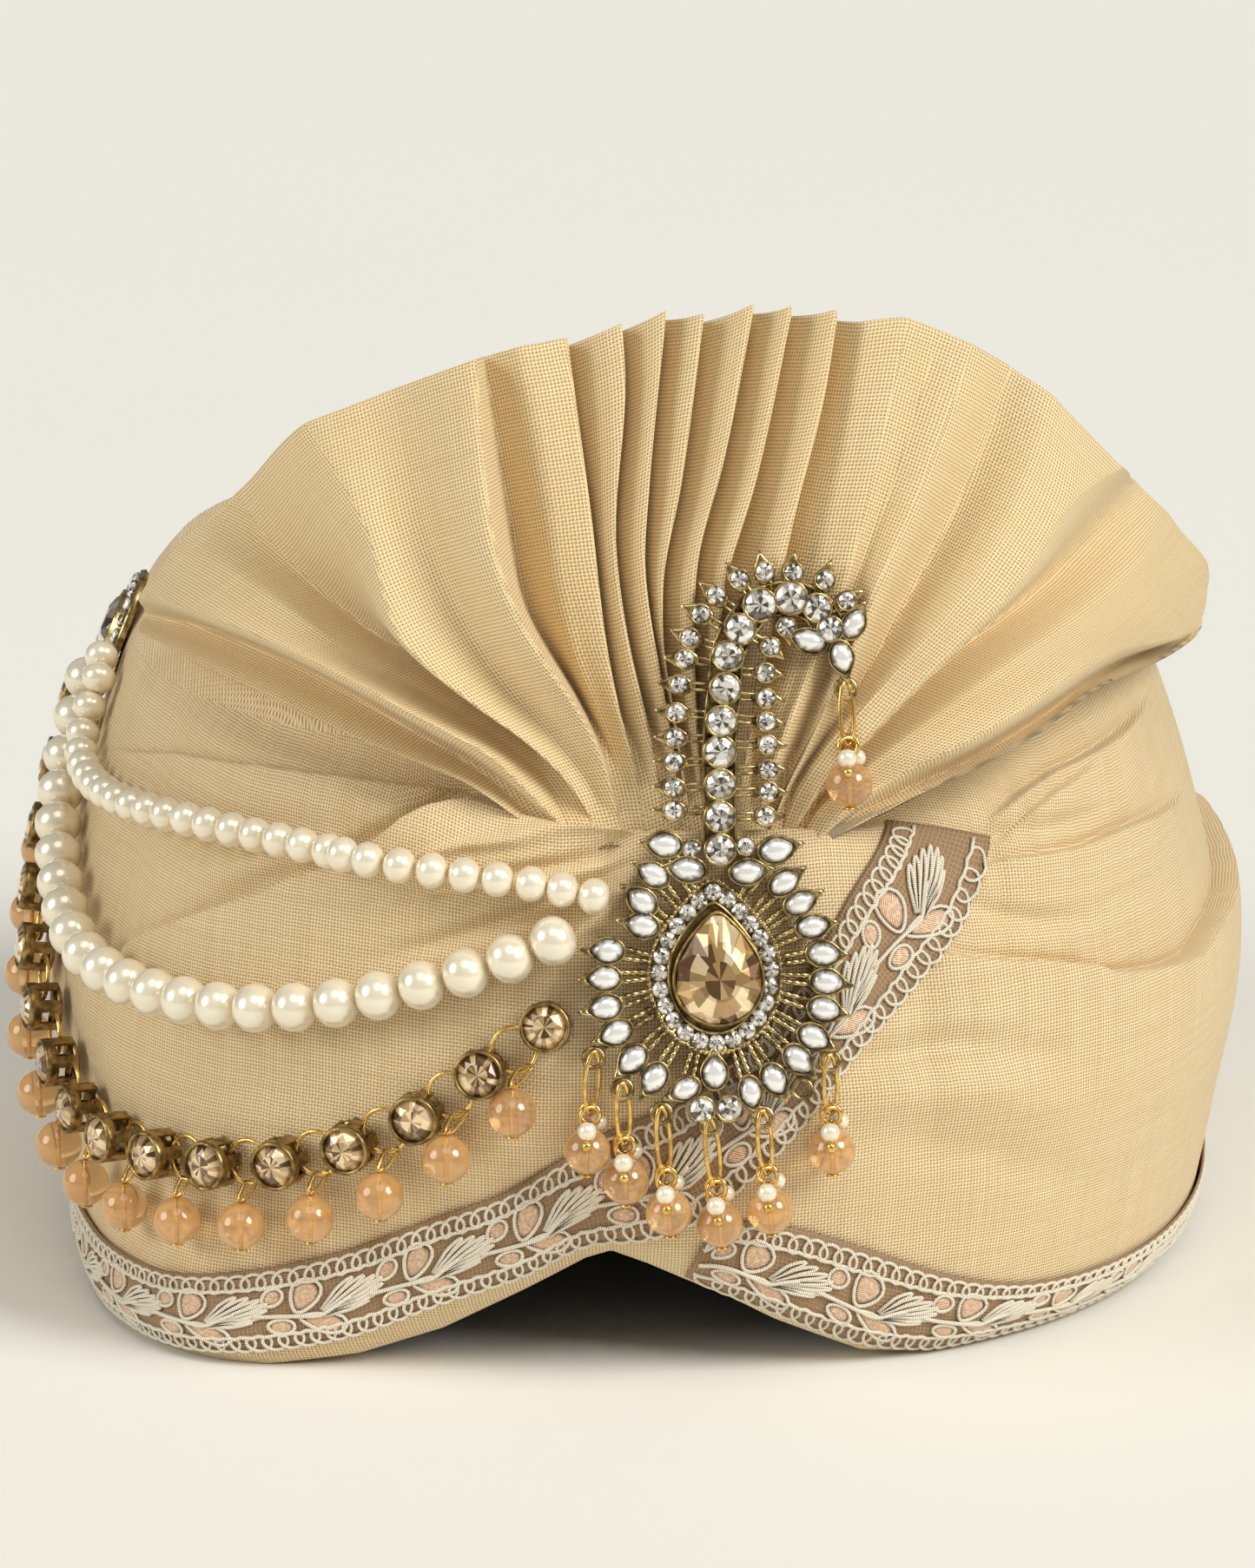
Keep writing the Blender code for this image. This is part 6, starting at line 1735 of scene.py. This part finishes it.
def make_centre_stone():
    """A pear cut stone: table, two rows of crown facets, girdle and a flat back, in a thin bezel."""
    count = 12
    half = np.pi / count
    # Rings from the table to the back: share of the outline, millimetres out, and turn
    rings = ((0.50, 5.3, half), (0.80, 4.5, 0.0), (1.0, 3.0, half), (1.0, 2.6, half), (0.92, 0.6, half))
    places = []
    for share, depth, shift in rings:
        flat = np.stack(centre_line(turns(count, np.pi / 2) + shift), 1)
        places.append(np.column_stack([CENTRE_PLACE + (flat - CENTRE_PLACE) * share, np.full(count, depth)]))
    places = np.concatenate(places)
    k = np.arange(count)
    nxt = (k + 1) % count
    prv = (k - 1) % count
    c = count
    star = np.stack([k, prv, c + k], 1)
    mains = np.stack([k, c + k, 2 * c + k, c + nxt], 1)
    lower = np.stack([c + k, 2 * c + prv, 2 * c + k], 1)
    walls = [np.stack([at + k, at + prv, at + c + prv, at + c + k], 1) for at in (2 * c, 3 * c)]
    faces = [k[None], star, mains, lower, *walls, 4 * c + k[None, ::-1]]
    cut = shape(on_brooch(*places.T), faces, smooth=False)
    local = (places[:, :2] - CENTRE_PLACE) / (CENTRE_WIDTH, (CENTRE_BELOW + CENTRE_ABOVE) / 2)
    cut["uvs"] = [local[f] for f in cut["faces"]]
    make_piece("centre_stone_cut", [cut], [centre_glass], ["centre_stone"])
    make_piece("centre_stone_bezel", [pear_wall(CENTRE_WALL, centre_line)], [brass], ())


DROP_CAP = ((0.0, -0.0002), (0.0010, 0.0), (0.0012, 0.0004), (0.0, 0.0006))


def make_drops():
    """Each drop: an oval link through the eyelet, a pair of rings, a glass bead on its pin, and before it a
    small pearl on its own pin with a gold ball."""
    x, y, bead_x, bead_y, forward = np.transpose([row[1:] for row in DROPS])
    tops = on_brooch(x, y, 1.2)
    lengths = (y - bead_y) * MM
    downs = unit(np.stack([(bead_x - x) * MM / lengths, -forward, np.full(len(DROPS), -1.0)], 1))
    viewer = np.array([0.0, -1.0, 0.0])
    fronts = unit(viewer - downs * (downs @ viewer)[:, None])
    sides = np.cross(downs, fronts)
    for (name, *_), top, length, d, f, s in zip(DROPS, tops, lengths, downs, fronts, sides):
        bead = top + d * length + f * 0.0004
        neck = bead - d * (DROP_BEAD + 0.0016)
        link_end = neck - d * 0.0023
        reach = np.linalg.norm(link_end - top) / 2
        small = bead - d * 0.0043 + f * 0.0030 + s * 0.0003
        ball_at = bead - d * 0.0019 + f * 0.0040 + s * 0.0002
        behind = bead - d * 0.0046 - s * 0.0016 - f * 0.0026
        link_wide, first_wide, second_wide = f * 0.5 + s * 0.85, s * 0.95 - f * 0.3, f * 0.4 + s * 0.9
        shapes = [
            wire_rings((top + link_end) / 2, d, link_wide, reach + 0.0013, 0.0014, 0.45 * MM),
            wire_rings(neck - d * 0.0010, d, first_wide, 1.8 * MM, 1.8 * MM, 0.42 * MM),
            wire_rings(neck - d * 0.0006 + f * 0.0006, d, second_wide, 1.8 * MM, 1.8 * MM, 0.42 * MM),
            tubes(np.stack([neck, bead + d * DROP_BEAD]), f, 0.34 * MM),
            repeat(turned(DROP_CAP, 12), bead + d * DROP_BEAD, s, f, d),
            tubes(np.stack([neck + f * 0.0012, small, ball_at]), s, 0.26 * MM),
            repeat(ball(0.95 * MM, 14, 10), ball_at, s, f, d)]
        make_piece(name + "_metal", shapes, [bright_gold], [name])
        glass = repeat(ball(DROP_BEAD, 36, 22), bead, s, f, d)
        make_piece(name + "_bead", [glass], [peach_glass], ())
        points, faces = ball(1.7 * MM, 18, 12, 0.05)
        pair = [repeat((points, faces), small, s, f, d), repeat((points * 0.9, faces), behind, s, f, d)]
        make_piece(name + "_pearls", pair, [pearl], ())


# Side brooch: share of its oval, and metres out, from the back over the rim to the stone's seat
SIDE_PLATE = ((0.70, 0.0), (0.98, 0.0002), (1.02, 0.0010), (0.98, 0.0018), (0.90, 0.0016), (0.62, 0.0016),
              (0.60, 0.0034), (0.56, 0.0036), (0.53, 0.0030), (0.52, 0.0012))
SIDE_STONES = 18


def make_side_brooch():
    """Oval setting at the left end of the strings: gold plate and bezel, round stones in a ring, and a smoky
    stone."""
    angle, t = np.array(SIDE_BROOCH)
    out = outward(angle, t)
    foot = on_body(angle, t, 0.0002)
    up = unit(np.array([0, 0, 1.0]) - out * out[2])
    across = np.cross(up, out)

    def oval(turn):
        return (across * np.cos(turn)[:, None] * SIDE_BROOCH_WIDTH
                + up * np.sin(turn)[:, None] * SIDE_BROOCH_HEIGHT)

    count = 40
    plate = np.stack([foot + oval(turns(count)) * share + out * depth for share, depth in SIDE_PLATE])
    faces, _, _ = grid(len(plate), count, False, True)
    rim = np.arange(count)[None]
    shapes = [shape(plate, [faces, rim[:, ::-1], rim + (len(plate) - 1) * count])]
    make_piece("side_brooch_metal", shapes, [gold], ["side_brooch"])
    around = foot + oval(turns(SIDE_STONES)) * 0.80 + out * 0.0022
    make_piece("side_brooch_stones", [stones(around, 0.0016, across, up, out)], [clear_stone], ())
    gem = stones((foot + out * 0.0030)[None], 1.0, across * SIDE_BROOCH_WIDTH * 0.55,
                 up * SIDE_BROOCH_HEIGHT * 0.55, out * SIDE_BROOCH_WIDTH * 0.5)
    make_piece("side_brooch_gem", [gem], [smoky_stone], ())


make_body()
make_fan()
make_lace("lace_left", LACE_LEFT, "lace_left")
make_lace("lace_right", LACE_RIGHT, "lace_right")
make_pearls("pearl_string_lower", STRING_LOWER, PEARL_LARGE, 0.0004, "pearl_string_lower")
make_pearls("pearl_string_upper", STRING_UPPER, PEARL_SMALL, 0.0008, "pearl_string_upper")
make_chain()
make_brooch()
make_centre_stone()
make_drops()
make_side_brooch()


# Floor, light and camera
FLOOR_HALF = 6.0


def make_floor():
    """A wide pale floor with a soft mottle."""
    made, tree, place = new_material("pale_floor", "Object")
    colour = mixed(tree, noise(tree, place, 1.5, 2.0), (0.86, 0.85, 0.80), (0.88, 0.87, 0.82))
    finished(made, {"Base Color": colour, "Roughness": 0.75})
    corners = [(x * FLOOR_HALF, y * FLOOR_HALF, 0) for x, y in ((-1, -1), (1, -1), (1, 1), (-1, 1))]
    mesh = bpy.data.meshes.new("floor")
    mesh.from_pydata(corners, [], [(0, 1, 2, 3)])
    mesh.materials.append(made)
    floor = bpy.data.objects.new("floor", mesh)
    bpy.context.scene.collection.objects.link(floor)


def add_sun(name, way, strength, angle, colour):
    """A broad far light that shines from one way."""
    data = bpy.data.lights.new(name, "SUN")
    data.energy = strength
    data.angle = math.radians(angle)
    data.color = colour
    made = bpy.data.objects.new(name, data)
    made.location = way
    made.rotation_euler = made.location.to_track_quat("Z", "Y").to_euler()
    bpy.context.scene.collection.objects.link(made)


make_floor()
SUNS = (
    ("key_right", (0.72, -0.44, 0.62), 2.50, 30.0, (1.0, 0.985, 0.95)),
    ("above", (0.05, -0.50, 0.86), 0.55, 34.0, (1.0, 0.98, 0.94)),
    ("side_left", (-0.90, -0.30, 0.42), 1.30, 34.0, (1.0, 0.98, 0.94)),
)
for sun in SUNS:
    add_sun(*sun)

world = bpy.data.worlds.new("studio")
bpy.context.scene.world = world
world.use_nodes = True
sky = {"Color": (0.90, 0.89, 0.85), "Strength": 0.24}
join(world.node_tree, world.node_tree.nodes["Background"], sky)

camera_data = bpy.data.cameras.new("camera")
camera_data.sensor_fit = "VERTICAL"
camera_data.sensor_height = 36.0
camera_data.lens = camera_data.sensor_height * PIXELS_FAR / PICTURE[1]
camera_data.clip_start = 0.05
camera = bpy.data.objects.new("camera", camera_data)
camera.location = CAMERA_TARGET + CAMERA_FAR * np.array((0.0, -math.cos(CAMERA_TILT), math.sin(CAMERA_TILT)))
camera.rotation_euler = (math.pi / 2 - CAMERA_TILT, 0.0, 0.0)
bpy.context.scene.collection.objects.link(camera)
bpy.context.scene.camera = camera
bpy.context.scene.view_settings.view_transform = "Standard"
